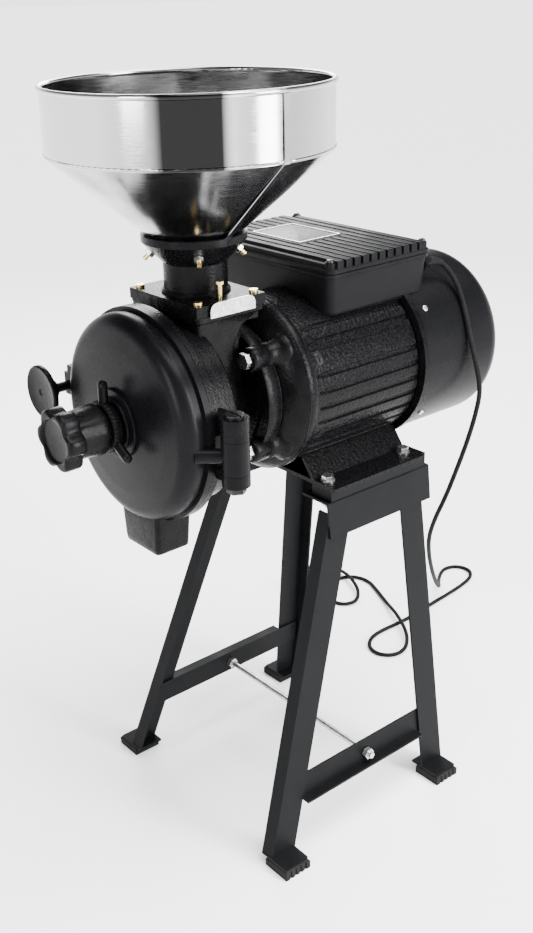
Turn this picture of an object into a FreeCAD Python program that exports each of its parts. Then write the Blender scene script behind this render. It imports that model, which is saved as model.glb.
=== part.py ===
import FreeCAD, Part
import math
import os
import Sketcher
from FreeCAD import Placement, Rotation, Vector

# Electric grain mill on an angle-steel stand, in millimetres.
# +Z is up, the floor is z = 0, the adjusting knob points to -Y and the motor's fan to +Y.
# The hinge side of the mill is +X and the clamp side is -X.

doc = FreeCAD.newDocument("grain_mill")
sheet = doc.addObject("Spreadsheet::Sheet", "Sizes")

# Driving sizes: name, millimetres, what it measures.
DRIVING = [
    ("stand_height", 447, "floor to the top of the stand's channels"),
    ("channel_length", 177, "channel along the mill"),
    ("channel_width", 46, "channel's top plate"),
    ("channel_skirt", 46, "channel's skirt, downwards"),
    ("steel_gauge", 3, "sheet of the stand"),
    ("top_half", 108, "middle to the stand's outer face at the top"),
    ("foot_half", 160, "middle to the stand's outer face at the floor"),
    ("leg_width", 38, "broad side of a leg"),
    ("leg_return", 20, "folded side of a leg"),
    ("leg_tuck", 29, "leg's top inside the channel's skirt"),
    ("front_inset", 4, "channel's front end to the front leg's top"),
    ("rear_inset", 14, "channel's rear end to the rear leg's top"),
    ("front_splay", 142, "front leg's foot forward of its top"),
    ("rear_splay", 13, "rear leg's foot behind its top"),
    ("foot_overhang", 24, "rubber foot past the leg's outer face"),
    ("foot_depth", 40, "rubber foot across the leg"),
    ("foot_height", 12, "rubber foot, floor to top"),
    ("bar_low", 70, "floor to the crossbar's lower edge"),
    ("bar_deep", 34, "crossbar's upright side"),
    ("bar_flange", 14, "crossbar's folded side"),
    ("rod_radius", 4, "tie rod"),
    ("rod_ahead", 41, "tie rod ahead of the motor base's middle"),
    ("rod_height", 86, "tie rod above the floor"),
    ("rod_nut", 6.5, "half across flats of a tie rod nut"),
    ("rod_nut_thick", 6.5, "tie rod nut"),
    ("rod_stub", 4, "thread past the outer nut"),
    ("spacer_height", 18, "bar between the channel and the motor base"),
    ("spacer_width", 34, "bar across"),
    ("spacer_length", 164, "bar along the mill"),
    ("spacer_back", 11, "bar's middle behind the motor base's middle"),
    ("base_plate", 5, "steel of the motor base"),
    ("base_length", 155, "motor base along the mill"),
    ("base_half", 120, "motor base, middle to edge"),
    ("saddle_foot", 84, "middle to the saddle's foot"),
    ("saddle_top", 64, "middle to the saddle's top"),
    ("bolt_span", 130, "motor bolts along the mill"),
    ("bolt_half", 94, "middle to the motor bolts"),
    ("bolt_radius", 4, "motor bolt shank"),
    ("bolt_head", 6.5, "half across flats of a motor bolt head"),
    ("bolt_head_thick", 5.5, "motor bolt head and nut"),
    ("washer_radius", 9, "washer under each head"),
    ("washer_thick", 1.6, "washer"),
    ("bolt_clearance", 0.5, "hole radius over the motor bolt's"),
    ("shaft_rise", 115, "shaft above the top of the spacer bars"),
    ("feet_setback", 59.5, "feet's middle ahead of the motor base's middle"),
    ("base_setback", 15, "motor base behind the front of the housing"),
    ("frame_radius", 105, "motor housing"),
    ("frame_wall", 8, "motor housing's wall"),
    ("frame_length", 173, "motor housing along the shaft"),
    ("groove_depth", 4, "groove in the housing"),
    ("groove_width", 15, "groove in the housing"),
    ("groove_count", 26, "grooves all the way round, before the bare parts"),
    ("groove_margin", 9, "housing's end to a groove's end"),
    ("rear_shield", 14, "rear end shield along the shaft"),
    ("rear_rim", 113, "rear end shield's radius"),
    ("cowl_radius", 110.5, "fan cover"),
    ("cowl_length", 137, "fan cover along the shaft"),
    ("cowl_wall", 1.6, "sheet of the fan cover"),
    ("cowl_round", 24, "rounding of the fan cover's rear edge"),
    ("grille_slot", 5, "slot in the fan cover's rear"),
    ("bell_rim", 12, "front end shield's rim"),
    ("bell_cone", 23, "front end shield's cone"),
    ("bell_neck", 76, "front end shield's radius at the neck"),
    ("bell_nose", 10, "front end shield's nose flange"),
    ("nose_radius", 84, "front end shield's nose flange radius"),
    ("mill_flange", 12, "mill body's rear flange"),
    ("mill_flange_radius", 68, "mill body's rear flange radius"),
    ("mill_bolt_circle", 83, "circle of the bolts that join mill and motor"),
    ("mill_bolt_angle", 42, "angle of those bolts above and below level"),
    ("mill_bolt_radius", 5, "shank of those bolts"),
    ("mill_bolt_head", 8.5, "half across flats of their heads"),
    ("mill_bolt_thick", 7, "their heads"),
    ("ear_radius", 12, "bosses for those bolts"),
    ("ear_front", 22, "boss on the mill body"),
    ("ear_rear", 28, "boss on the front end shield"),
    ("barrel_length", 58, "feed barrel, drum's back to rear flange"),
    ("barrel_radius", 44, "feed barrel outside"),
    ("barrel_bore", 31, "feed barrel inside"),
    ("drum_depth", 48, "grinding drum, joint face to back"),
    ("drum_radius", 112, "grinding drum outside"),
    ("drum_wall", 8, "grinding drum's wall"),
    ("drum_back", 10, "grinding drum's back wall"),
    ("joint_radius", 124, "flange where cover and drum meet"),
    ("joint_flange", 8, "that flange along the shaft"),
    ("joint_gap", 0.4, "between cover and drum"),
    ("cover_depth", 40, "front cover, joint face to face"),
    ("cover_radius", 119.5, "front cover outside"),
    ("cover_wall", 6, "front cover's wall"),
    ("cover_round", 18, "rounding of the front cover's edge"),
    ("boss_radius", 40, "boss in the middle of the cover"),
    ("boss_step", 6, "boss out of the cover's face"),
    ("collar_radius", 31, "collar on the boss"),
    ("collar_step", 3, "collar out of the boss"),
    ("screw_radius", 22, "adjusting screw"),
    ("screw_fit", 0.08, "running fit of the adjusting screw"),
    ("screw_pitch", 1.5, "adjusting screw's pitch"),
    ("lock_gap", 3, "thread seen behind the lock ring"),
    ("lock_thick", 12, "lock ring along the shaft"),
    ("lock_radius", 30, "lock ring"),
    ("spoke_reach", 53, "lock ring's spokes, from the shaft"),
    ("spoke_radius", 5.5, "lock ring's spokes"),
    ("hub_gap", 4, "thread seen ahead of the lock ring"),
    ("hub_radius", 29, "knob's hub"),
    ("hub_length", 34, "knob's hub along the shaft"),
    ("star_thick", 22, "knob's star along the shaft"),
    ("star_radius", 40, "knob's lobes"),
    ("lobe_radius", 13, "rounding of a lobe"),
    ("dish_radius", 25, "recess in the knob's face"),
    ("dish_depth", 7, "recess in the knob's face"),
    ("hinge_out", 142, "shaft to the hinge pin"),
    ("hinge_back", 12, "hinge pin behind the joint face"),
    ("knuckle_radius", 15.5, "hinge knuckles"),
    ("knuckle_mid", 38, "cover's knuckle, up and down"),
    ("knuckle_top", 24, "body's upper knuckle"),
    ("knuckle_low", 14, "body's lower knuckle"),
    ("knuckle_drop", 11, "cover's knuckle below the shaft"),
    ("knuckle_gap", 0.4, "between knuckles"),
    ("pin_radius", 6, "hinge pin"),
    ("pin_fit", 0.08, "running fit of the hinge pin"),
    ("arm_radius", 8, "cover's hinge arm"),
    ("clamp_out", 146, "shaft to the clamp screw"),
    ("clamp_radius", 6, "clamp screw's shank"),
    ("clamp_play", 1.5, "clamp screw's play in the body's lug"),
    ("clamp_hub", 10.5, "clamp knob's hub"),
    ("clamp_hub_length", 32, "clamp knob's hub along the shaft"),
    ("clamp_disc", 25, "clamp knob's disc"),
    ("clamp_disc_thick", 10, "clamp knob's disc"),
    ("lug_half", 14, "half height of the clamp lugs"),
    ("lug_top", 10, "block on top of the cover's lug"),
    ("lug_thick", 12, "clamp lugs along the shaft"),
    ("lug_edge", 13, "clamp screw to a lug's outer side"),
    ("chute_half", 31, "chute, half across"),
    ("chute_depth", 44, "chute along the shaft"),
    ("chute_ahead", 19, "chute ahead of the joint face"),
    ("chute_bottom", 162, "chute's mouth below the shaft"),
    ("chute_wall", 4, "chute's wall"),
    ("throat_back", 75.3, "hopper's middle behind the joint face"),
    ("platform_rise", 117, "top of the mill body above the shaft"),
    ("platform_half", 57, "platform across the mill, half"),
    ("platform_depth", 84, "platform along the mill"),
    ("passage_half", 28, "grain passage, half across"),
    ("throat_flange", 12, "throat's flange"),
    ("throat_half", 63, "throat's flange across the mill, half"),
    ("throat_depth", 95, "throat's flange along the mill"),
    ("gate_slot", 2.4, "slot for the gate under the flange"),
    ("neck_radius", 36, "throat's neck"),
    ("neck_height", 34, "throat's neck above the flange"),
    ("seat_radius", 59, "hopper seat"),
    ("seat_cone", 24, "hopper seat's cone"),
    ("seat_rim", 8, "hopper seat's rim"),
    ("throat_wall", 5, "throat's wall"),
    ("gate_thick", 1.8, "feed gate"),
    ("gate_half", 31, "feed gate, half across the slide"),
    ("gate_lip", 16, "feed gate's turned-up lip"),
    ("gate_travel", 58, "feed gate's travel"),
    ("hopper_radius", 155, "hopper's rim"),
    ("hopper_band", 68, "hopper's upright band"),
    ("hopper_gauge", 1, "sheet of the hopper"),
    ("hopper_bead", 3, "rolled bead on the rim"),
    ("hopper_rise", 87.5, "hopper's cone above its seat"),
    ("hopper_neck", 27, "hopper's outlet"),
    ("hopper_spout", 14, "hopper's outlet, straight part"),
    ("seat_fit", 0.3, "between hopper and seat"),
    ("brass_radius", 2.5, "brass screws"),
    ("brass_head", 5, "brass screws' heads"),
    ("box_half", 75, "terminal box across the mill, half"),
    ("box_length", 165, "terminal box along the mill"),
    ("box_setback", 48, "terminal box behind the front of the housing"),
    ("box_low", 86, "terminal box's bottom above the shaft"),
    ("box_seam", 133, "terminal box's seam above the shaft"),
    ("box_wall", 4, "terminal box's wall"),
    ("lid_height", 16, "terminal box's lid"),
    ("lid_over", 3, "lid past the box, each way"),
    ("lid_groove", 2.5, "grooves in the lid"),
    ("lid_pitch", 14, "grooves in the lid, one to the next"),
    ("lid_screw", 4.5, "lid screws' heads"),
    ("plate_thick", 0.6, "bare plate on the lid"),
    ("capacitor_radius", 14, "capacitors"),
    ("capacitor_length", 92, "capacitors"),
    ("gland_radius", 7, "cable gland"),
    ("gland_length", 14, "cable gland out of the box"),
    ("cord_radius", 3.2, "power cord"),
    ("plug_radius", 14, "power plug's body"),
    ("plug_length", 44, "power plug's body"),
    ("shaft_radius", 14, "motor shaft in the rotor"),
    ("journal_radius", 10, "motor shaft through the mill"),
    ("shaft_fit", 0.06, "running fit of the feed screw on the shaft"),
    ("stack_length", 90, "stator and rotor laminations"),
    ("stack_setback", 42, "laminations behind the front of the housing"),
    ("rotor_radius", 56, "rotor"),
    ("air_gap", 0.6, "between rotor and stator"),
    ("winding_length", 24, "end windings"),
    ("bearing_radius", 31, "ball bearings outside"),
    ("bearing_width", 16, "ball bearings"),
    ("fan_radius", 88, "cooling fan"),
    ("fan_width", 34, "cooling fan"),
    ("fan_setback", 26, "cooling fan behind the rear shield"),
    ("fan_blades", 7, "cooling fan's blades"),
    ("burr_radius", 64, "burrs"),
    ("burr_bore", 32, "burrs inside"),
    ("burr_thick", 11, "burrs"),
    ("burr_gap", 0.4, "between the burrs when the knob is tight"),
    ("burr_groove", 2.5, "grooves in the burrs"),
    ("burr_grooves", 18, "grooves in each burr"),
    ("carrier_thick", 8, "plate that carries the moving burr"),
    ("carrier_nose", 14, "nose ahead of that plate"),
    ("worm_radius", 29, "feed screw's flight"),
    ("worm_core", 15, "feed screw's core"),
    ("worm_pitch", 26, "feed screw's pitch"),
    ("ball_radius", 6, "thrust ball"),
    ("ball_gap", 0.3, "between thrust ball and its neighbours"),
]


class Size:
    """A length that remembers the formula it came from."""

    def __init__(self, value, formula):
        self.value = float(value)
        self.formula = formula

    def __float__(self):
        return self.value

    def __neg__(self):
        return Size(-self.value, "(0 - %s)" % self.formula)

    def __add__(self, other):
        return Size(self.value + float(other), "(%s + %s)" % (self.formula, text(other)))

    def __sub__(self, other):
        return Size(self.value - float(other), "(%s - %s)" % (self.formula, text(other)))

    def __rsub__(self, other):
        return Size(float(other) - self.value, "(%s - %s)" % (text(other), self.formula))

    def __mul__(self, other):
        return Size(self.value * float(other), "(%s * %s)" % (self.formula, text(other)))

    def __truediv__(self, other):
        return Size(self.value / float(other), "(%s / %s)" % (self.formula, text(other)))

    __radd__ = __add__
    __rmul__ = __mul__


def text(value):
    """The formula of a size, or a plain number written out."""
    if isinstance(value, Size):
        return value.formula
    return "%.9g" % value


class Names:
    """Holds every named size."""


d = Names()
next_row = [1]


def write_cell(name, content, note):
    row = next_row[0]
    sheet.set("A%d" % row, note)
    sheet.set("B%d" % row, content)
    sheet.setAlias("B%d" % row, name)
    next_row[0] = row + 1


def derive(name, size, note=""):
    """Keep a worked-out size in the sheet under its own name."""
    write_cell(name, "=" + size.formula.replace("Sizes.", ""), note or name.replace("_", " "))
    setattr(d, name, Size(size.value, "Sizes." + name))


for alias, millimetres, meaning in DRIVING:
    write_cell(alias, "%.9g" % millimetres, meaning)
    setattr(d, alias, Size(millimetres, "Sizes." + alias))

# Stations along the mill, counted from the joint face between drum and cover.
derive("front_stack", d.cover_depth + d.boss_step + d.collar_step + d.lock_gap + d.lock_thick
       + d.hub_gap + d.hub_length + d.star_thick)
derive("mill_stack", d.drum_depth + d.barrel_length + d.mill_flange)
derive("bell_stack", d.bell_nose + d.bell_cone + d.bell_rim)
derive("rear_stack", d.mill_stack + d.bell_stack + d.frame_length + d.rear_shield + d.cowl_length)
derive("joint_y", (d.front_stack - d.rear_stack) / 2)
derive("drum_back_y", d.joint_y + d.drum_depth)
derive("flange_front_y", d.drum_back_y + d.barrel_length)
derive("mill_rear_y", d.joint_y + d.mill_stack)
derive("bell_neck_y", d.mill_rear_y + d.bell_nose)
derive("bell_rim_y", d.bell_neck_y + d.bell_cone)
derive("frame_y", d.mill_rear_y + d.bell_stack)
derive("shield_y", d.frame_y + d.frame_length)
derive("cowl_y", d.shield_y + d.rear_shield)
derive("cowl_end_y", d.cowl_y + d.cowl_length)
derive("base_y", d.frame_y + d.base_setback + d.base_length / 2)
derive("feet_y", d.base_y - d.feet_setback)
derive("cover_face_y", d.joint_y - d.cover_depth)
derive("boss_y", d.cover_face_y - d.boss_step)
derive("collar_y", d.boss_y - d.collar_step)
derive("lock_y", d.collar_y - d.lock_gap)
derive("lock_front_y", d.lock_y - d.lock_thick)
derive("hub_y", d.lock_front_y - d.hub_gap)
derive("star_y", d.hub_y - d.hub_length)
derive("knob_y", d.star_y - d.star_thick)
derive("throat_y", d.joint_y + d.throat_back)
derive("hinge_y", d.joint_y + d.hinge_back)

# Heights.
derive("spacer_top", d.stand_height + d.spacer_height)
derive("shaft_z", d.spacer_top + d.shaft_rise)
derive("platform_z", d.shaft_z + d.platform_rise)
derive("throat_z", d.platform_z + d.throat_flange)
derive("neck_z", d.throat_z + d.neck_height)
derive("seat_z", d.neck_z + d.seat_cone)
derive("band_z", d.seat_z + d.seat_rim + d.hopper_rise)
derive("rim_z", d.band_z + d.hopper_band)
derive("hinge_z", d.shaft_z - d.knuckle_drop)
derive("box_z", d.shaft_z + d.box_low)
derive("seam_z", d.shaft_z + d.box_seam)
derive("lid_z", d.seam_z + d.lid_height)
derive("chute_z", d.shaft_z - d.chute_bottom)

# Stations of the burrs, from the drum's back wall to the thrust ball.
derive("fixed_burr_y", d.drum_back_y - d.drum_back)
derive("burr_face_y", d.fixed_burr_y - d.burr_thick)
derive("moving_burr_y", d.burr_face_y - d.burr_gap)
derive("carrier_y", d.moving_burr_y - d.burr_thick)
derive("nose_y", d.carrier_y - d.carrier_thick)
derive("nose_tip_y", d.nose_y - d.carrier_nose)
derive("ball_y", d.nose_tip_y - d.ball_gap - d.ball_radius)
derive("screw_tip_y", d.ball_y + d.ball_radius * 0.3)
derive("base_top", d.spacer_top + d.base_plate)

doc.recompute()

parts = {}
solids_of = {}
ALONG_X = Rotation(Vector(0, 1, 0), 90)
ALONG_Y = Rotation(Vector(1, 0, 0), -90)
ALONG_Z = Rotation()


def bind(thing, prop, value):
    """Tie a property to the sheet, or set it when it is a plain number."""
    if isinstance(value, Size):
        thing.setExpression(prop, value.formula)
    else:
        thing.setExpression(prop, text(value))


def put(thing, at, turn=ALONG_Z):
    """Place a thing at a point whose coordinates may be sizes."""
    thing.Placement = Placement(Vector(*[float(value) for value in at]), turn)
    for letter, value in zip("xyz", at):
        if isinstance(value, Size):
            thing.setExpression("Placement.Base." + letter, value.formula)
    return thing


def helper(kind, name):
    return doc.addObject(kind, name)


def block(name, low, high):
    """A box between two corners."""
    box = helper("Part::Box", name)
    for prop, start, end in zip(("Length", "Width", "Height"), low, high):
        size = end - start
        setattr(box, prop, abs(float(size)))
        if isinstance(size, Size):
            bind(box, prop, size)
    return put(box, low)


def rod(name, radius, length, at, turn=ALONG_Y):
    """A round bar that starts at a point."""
    bar = helper("Part::Cylinder", name)
    bar.Radius = float(radius)
    bar.Height = float(length)
    bind(bar, "Radius", radius)
    bind(bar, "Height", length)
    return put(bar, at, turn)


def hexagon(name, half_flats, length, at, turn=ALONG_Y):
    """A six-sided bar, such as a nut or a bolt's head."""
    prism = helper("Part::Prism", name)
    prism.Polygon = 6
    corner = half_flats * (2 / math.sqrt(3))
    prism.Circumradius = float(corner)
    prism.Height = float(length)
    bind(prism, "Circumradius", corner)
    bind(prism, "Height", length)
    return put(prism, at, turn)


def join(name, *pieces):
    union = helper("Part::MultiFuse", name)
    union.Shapes = list(pieces)
    union.Refine = True
    return union


def carve(name, base, *tools):
    """Take tools away from a base."""
    tool = tools[0]
    if len(tools) > 1:
        tool = helper("Part::MultiFuse", name + "_tools")
        tool.Shapes = list(tools)
    result = helper("Part::Cut", name)
    result.Base = base
    result.Tool = tool
    result.Refine = True
    return result


def overlap_of(name, first, second):
    common = helper("Part::MultiCommon", name)
    common.Shapes = [first, second]
    return common


def group(name, pieces):
    """Several separate solids under one name."""
    bundle = helper("Part::Compound", name)
    bundle.Links = list(pieces)
    return bundle


def keep(name, thing):
    """Register a finished sub-part under its node's name."""
    thing.Label = name
    parts[name] = thing
    return thing


def shaped(name, shape):
    """A sub-part whose shape is made directly; its sizes come from the sheet."""
    spot = shape.Placement
    feature = helper("Part::Feature", name)
    feature.Shape = shape
    feature.Placement = spot
    return feature


def origin_plane(body, role):
    for item in body.Origin.OriginFeatures:
        if item.Role == role:
            return item
    raise ValueError(role)


def hold(sketch, kind, index, value):
    """Fix one coordinate of a corner by a size."""
    if abs(float(value)) < 1e-9 and not isinstance(value, Size):
        axis = -2 if kind == "DistanceX" else -1
        sketch.addConstraint(Sketcher.Constraint("PointOnObject", index, 1, axis))
        return
    number = sketch.addConstraint(Sketcher.Constraint(kind, index, 1, float(value)))
    if isinstance(value, Size):
        label = "%s%d" % (kind[-1].lower(), index)
        sketch.renameConstraint(number, label)
        sketch.setExpression("Constraints." + label, value.formula)


def outline(body, role, corners):
    """A closed sketch with straight sides through corners given as sizes."""
    sketch = body.newObject("Sketcher::SketchObject", body.Name + "_outline")
    sketch.AttachmentSupport = [(origin_plane(body, role), "")]
    sketch.MapMode = "FlatFace"
    count = len(corners)
    spots = [Vector(float(a), float(b), 0) for a, b in corners]
    for index in range(count):
        sketch.addGeometry(Part.LineSegment(spots[index], spots[(index + 1) % count]), False)
    for index in range(count):
        sketch.addConstraint(Sketcher.Constraint("Coincident", index, 2, (index + 1) % count, 1))
    for index, (a, b) in enumerate(corners):
        hold(sketch, "DistanceX", index, a)
        hold(sketch, "DistanceY", index, b)
    return sketch


def turned(name, corners, at=(0, 0, 0), upright=False):
    """A turned piece: corners are (radius, station) along Y, or along Z when upright."""
    body = doc.addObject("PartDesign::Body", name)
    sketch = outline(body, "XZ_Plane" if upright else "XY_Plane", corners)
    turn = body.newObject("PartDesign::Revolution", name + "_turn")
    turn.Profile = sketch
    turn.ReferenceAxis = (sketch, ["V_Axis"])
    turn.Angle = 360
    return put(body, at)


def pressed(name, role, corners, length, at=(0, 0, 0)):
    """A straight-sided piece: an outline given a length, centred on its plane."""
    body = doc.addObject("PartDesign::Body", name)
    sketch = outline(body, role, corners)
    pad = body.newObject("PartDesign::Pad", name + "_pad")
    pad.Profile = sketch
    pad.Midplane = True
    pad.Length = float(length)
    bind(pad, "Length", length)
    return put(body, at)


def rounded(body, name, radius, chosen):
    """Round the edges of a body that a test picks."""
    doc.recompute()
    base = body.Tip
    edges = []
    for number, edge in enumerate(base.Shape.Edges, 1):
        if chosen(edge):
            edges.append("Edge%d" % number)
    fillet = body.newObject("PartDesign::Fillet", name)
    fillet.Base = (base, edges)
    fillet.Radius = float(radius)
    bind(fillet, "Radius", radius)
    body.Tip = fillet
    return body


def circle_at(edge, radius, axis, station):
    """True for a round edge of one radius at one station."""
    curve = edge.Curve
    if not isinstance(curve, Part.Circle):
        return False
    place = getattr(curve.Center, axis)
    return abs(curve.Radius - float(radius)) < 0.01 and abs(place - float(station)) < 0.01


def plain_cylinder(radius, length, base, direction):
    return Part.makeCylinder(float(radius), float(length), base, direction)


def wire_of(points):
    return Part.makePolygon(list(points) + [points[0]])


MIRRORED = (("right", 1), ("left", -1))


def make_stand():
    lean = (d.foot_half - d.top_half) / d.stand_height
    leg_top = d.stand_height - d.channel_skirt + d.leg_tuck
    channel_y = d.feet_y + d.feet_setback + d.spacer_back - d.channel_length / 2
    for side, sign in MIRRORED:
        make_channel(side, sign, lean, channel_y)
        make_leg("leg_front_" + side, sign, lean, leg_top, channel_y, 1)
        make_leg("leg_rear_" + side, sign, lean, leg_top, channel_y, -1)
        make_crossbar(side, sign, lean)
        make_spacer(side, sign)
    make_feet()
    make_tie_rod(lean)


def out_at(height, lean):
    """Middle to the stand's outer face at a height."""
    return float(d.foot_half - lean * height)


def make_channel(side, sign, lean, channel_y):
    """Folded channel across the tops of two legs, with the fold's outside rounded."""
    top = float(d.stand_height)
    low = top - float(d.channel_skirt)
    gauge = float(d.steel_gauge)
    outer_top = float(d.top_half)
    outer_low = out_at(low, lean)
    inner = outer_top - float(d.channel_width)
    section = [Vector(sign * x, 0, z) for x, z in (
        (outer_top, top), (outer_low, low), (outer_low - gauge, low),
        (out_at(top - gauge, lean) - gauge, top - gauge), (inner, top - gauge), (inner, top))]
    fold = Part.Face(wire_of(section)).extrude(Vector(0, float(d.channel_length), 0))
    fold.translate(Vector(0, float(channel_y), 0))
    corner = [edge for edge in fold.Edges if on_fold(edge, sign * outer_top, top)]
    fold = fold.makeFillet(gauge * 0.9, corner)
    for x in (sign * float(d.bolt_half),):
        for end in (-1, 1):
            spot = Vector(x, float(d.base_y + d.bolt_span * (end / 2)), top - 2 * gauge)
            hole = plain_cylinder(d.bolt_radius + d.bolt_clearance, gauge * 3, spot, Vector(0, 0, 1))
            fold = fold.cut(hole)
    keep("channel_" + side, shaped("channel_" + side, fold))


def on_fold(edge, x, z):
    first = edge.Vertexes[0].Point
    last = edge.Vertexes[-1].Point
    close = abs(first.x - x) < 0.01 and abs(last.x - x) < 0.01
    return close and abs(first.z - z) < 0.01 and abs(last.z - z) < 0.01


def make_leg(name, sign, lean, leg_top, channel_y, facing):
    """Angle-steel leg: a slanted prism between two level cuts. Facing is 1 at the front."""
    gauge = float(d.steel_gauge)
    width = float(d.leg_width)
    low = float(d.foot_height)
    high = float(leg_top)
    if facing > 0:
        top_edge = float(channel_y + d.front_inset)
        splay = float(d.front_splay)
    else:
        top_edge = float(channel_y + d.channel_length - d.rear_inset)
        splay = float(d.rear_splay)
    foot_edge = top_edge - facing * splay
    x = out_at(low, lean) - gauge - 0.05
    corners = [(0, 0), (0, width), (gauge, width), (gauge, gauge),
               (float(d.leg_return), gauge), (float(d.leg_return), 0)]
    section = [Vector(sign * (x - a), foot_edge + facing * b, low) for a, b in corners]
    rise = Vector(sign * (out_at(high, lean) - out_at(low, lean)), facing * splay, high - low)
    leg = Part.Face(wire_of(section)).extrude(rise)
    tab_out = float(d.foot_half + d.foot_overhang) - 4
    tab = Part.makeBox(tab_out - (x - float(d.leg_return)), width, gauge)
    tab.translate(Vector(x - float(d.leg_return) if sign > 0 else -tab_out,
                         foot_edge if facing > 0 else foot_edge - width, low))
    leg = leg.fuse(tab).removeSplitter()
    keep(name, shaped(name, leg))
    foot_spots.append((sign, foot_edge + facing * width / 2))
    leg_lines[(sign, facing)] = (top_edge, foot_edge)


foot_spots = []
leg_lines = {}


def leg_edge(sign, facing, height):
    """Outer edge of a leg, along the mill, at a height."""
    top_edge, foot_edge = leg_lines[(sign, facing)]
    span = float(d.stand_height - d.channel_skirt + d.leg_tuck - d.foot_height)
    share = (height - float(d.foot_height)) / span
    return foot_edge + (top_edge - foot_edge) * share


def make_crossbar(side, sign, lean):
    """Angle-steel bar inside two legs; the left one is the right one turned over."""
    gauge = float(d.steel_gauge)
    low = float(d.bar_low)
    high = low + float(d.bar_deep)
    start = leg_edge(sign, 1, high) + 4
    end = leg_edge(sign, -1, low) - 4
    inside = 2 * gauge + 0.1
    upright = [(out_at(low, lean) - inside, low), (out_at(high, lean) - inside, high),
               (out_at(high, lean) - inside - gauge, high), (out_at(low, lean) - inside - gauge, low)]
    face = Part.Face(wire_of([Vector(sign * x, start + gauge, z) for x, z in upright]))
    bar = face.extrude(Vector(0, end - start - 2 * gauge, 0))
    base = low if sign > 0 else high - gauge
    reach = float(d.bar_flange)
    tip = out_at(base, lean) - inside
    first = leg_edge(sign, 1, base) + float(d.leg_width) + 3
    last = leg_edge(sign, -1, base) - float(d.leg_width) - 3
    flange = Part.makeBox(reach, last - first, gauge)
    flange.translate(Vector(tip - gauge if sign > 0 else -tip + gauge - reach, first, base))
    bar = bar.fuse(flange).removeSplitter()
    hole = plain_cylinder(d.rod_radius + 0.5, 4 * gauge,
                          Vector(sign * (out_at(float(d.rod_height), lean) - 2.5 * gauge) - 2 * gauge,
                                 float(d.base_y - d.rod_ahead), float(d.rod_height)), Vector(1, 0, 0))
    keep("crossbar_" + side, shaped("crossbar_" + side, bar.cut(hole)))


def make_spacer(side, sign):
    length = d.spacer_length
    centre = d.base_y + d.spacer_back
    near = d.top_half - 1
    far = near - d.spacer_width
    low_x = far if sign > 0 else -near
    high_x = near if sign > 0 else -far
    bar = block("spacer_block_" + side, (low_x, centre - length / 2, d.stand_height),
                (high_x, centre + length / 2, d.spacer_top))
    holes = []
    for end in (-1, 1):
        holes.append(rod("spacer_hole_%s%d" % (side, end), d.bolt_radius + d.bolt_clearance,
                         d.spacer_height * 3,
                         (d.bolt_half * sign, d.base_y + d.bolt_span * (end / 2),
                          d.stand_height - d.spacer_height), ALONG_Z))
    keep("spacer_" + side, carve("spacer_cut_" + side, bar, *holes))


def make_feet():
    """Rubber feet with a ridged outer edge, folded out under the legs."""
    feet = []
    height = float(d.foot_height)
    reach = float(d.foot_half + d.foot_overhang)
    inner = float(d.foot_half) - 16
    depth = float(d.foot_depth)
    for number, (sign, y) in enumerate(foot_spots):
        foot = Part.makeBox(reach - inner, depth, height)
        foot = foot.makeChamfer(2, [edge for edge in foot.Edges if edge.BoundBox.ZMin > height - 0.1])
        teeth = 5
        pitch = depth / teeth
        for tooth in range(1, teeth):
            notch = plain_cylinder(1.6, height * 2, Vector(reach - inner, tooth * pitch, -1), Vector(0, 0, 1))
            foot = foot.cut(notch)
        if sign < 0:
            foot.rotate(Vector(0, 0, 0), Vector(0, 0, 1), 180)
            foot.translate(Vector(-inner, y + depth / 2, 0))
        else:
            foot.translate(Vector(inner, y - depth / 2, 0))
        feet.append(foot)
    keep("rubber_feet", shaped("rubber_feet", Part.makeCompound(feet)))


def make_tie_rod(lean):
    face = out_at(float(d.rod_height), lean) - 2 * float(d.steel_gauge)
    inner = face - float(d.steel_gauge)
    reach = face + float(d.rod_nut_thick + d.rod_stub) + 1.5
    y = float(d.base_y - d.rod_ahead)
    z = float(d.rod_height)
    bar = plain_cylinder(d.rod_radius, 2 * reach, Vector(-reach, y, z), Vector(1, 0, 0))
    keep("tie_rod", shaped("tie_rod", bar))
    nuts = []
    thick = float(d.rod_nut_thick)
    for sign in (1, -1):
        for start in (face + 1.0, inner - thick - 1.0):
            spot = min(sign * start, sign * (start + thick))
            ring = six_sided(float(d.rod_nut), thick, Vector(spot, y, z), Vector(1, 0, 0))
            hole = plain_cylinder(d.rod_radius, thick, Vector(spot, y, z), Vector(1, 0, 0))
            nuts.append(ring.cut(hole))
    keep("tie_rod_nuts", shaped("tie_rod_nuts", Part.makeCompound(nuts)))


def six_sided(half_flats, length, base, direction):
    """A six-sided bar as a shape."""
    corner = half_flats * 2 / math.sqrt(3)
    points = []
    for step in range(6):
        angle = math.radians(60 * step + 30)
        points.append(Vector(corner * math.cos(angle), corner * math.sin(angle), 0))
    bar = Part.Face(wire_of(points)).extrude(Vector(0, 0, length))
    bar.Placement = Placement(base, Rotation(Vector(0, 0, 1), direction))
    return bar


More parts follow.
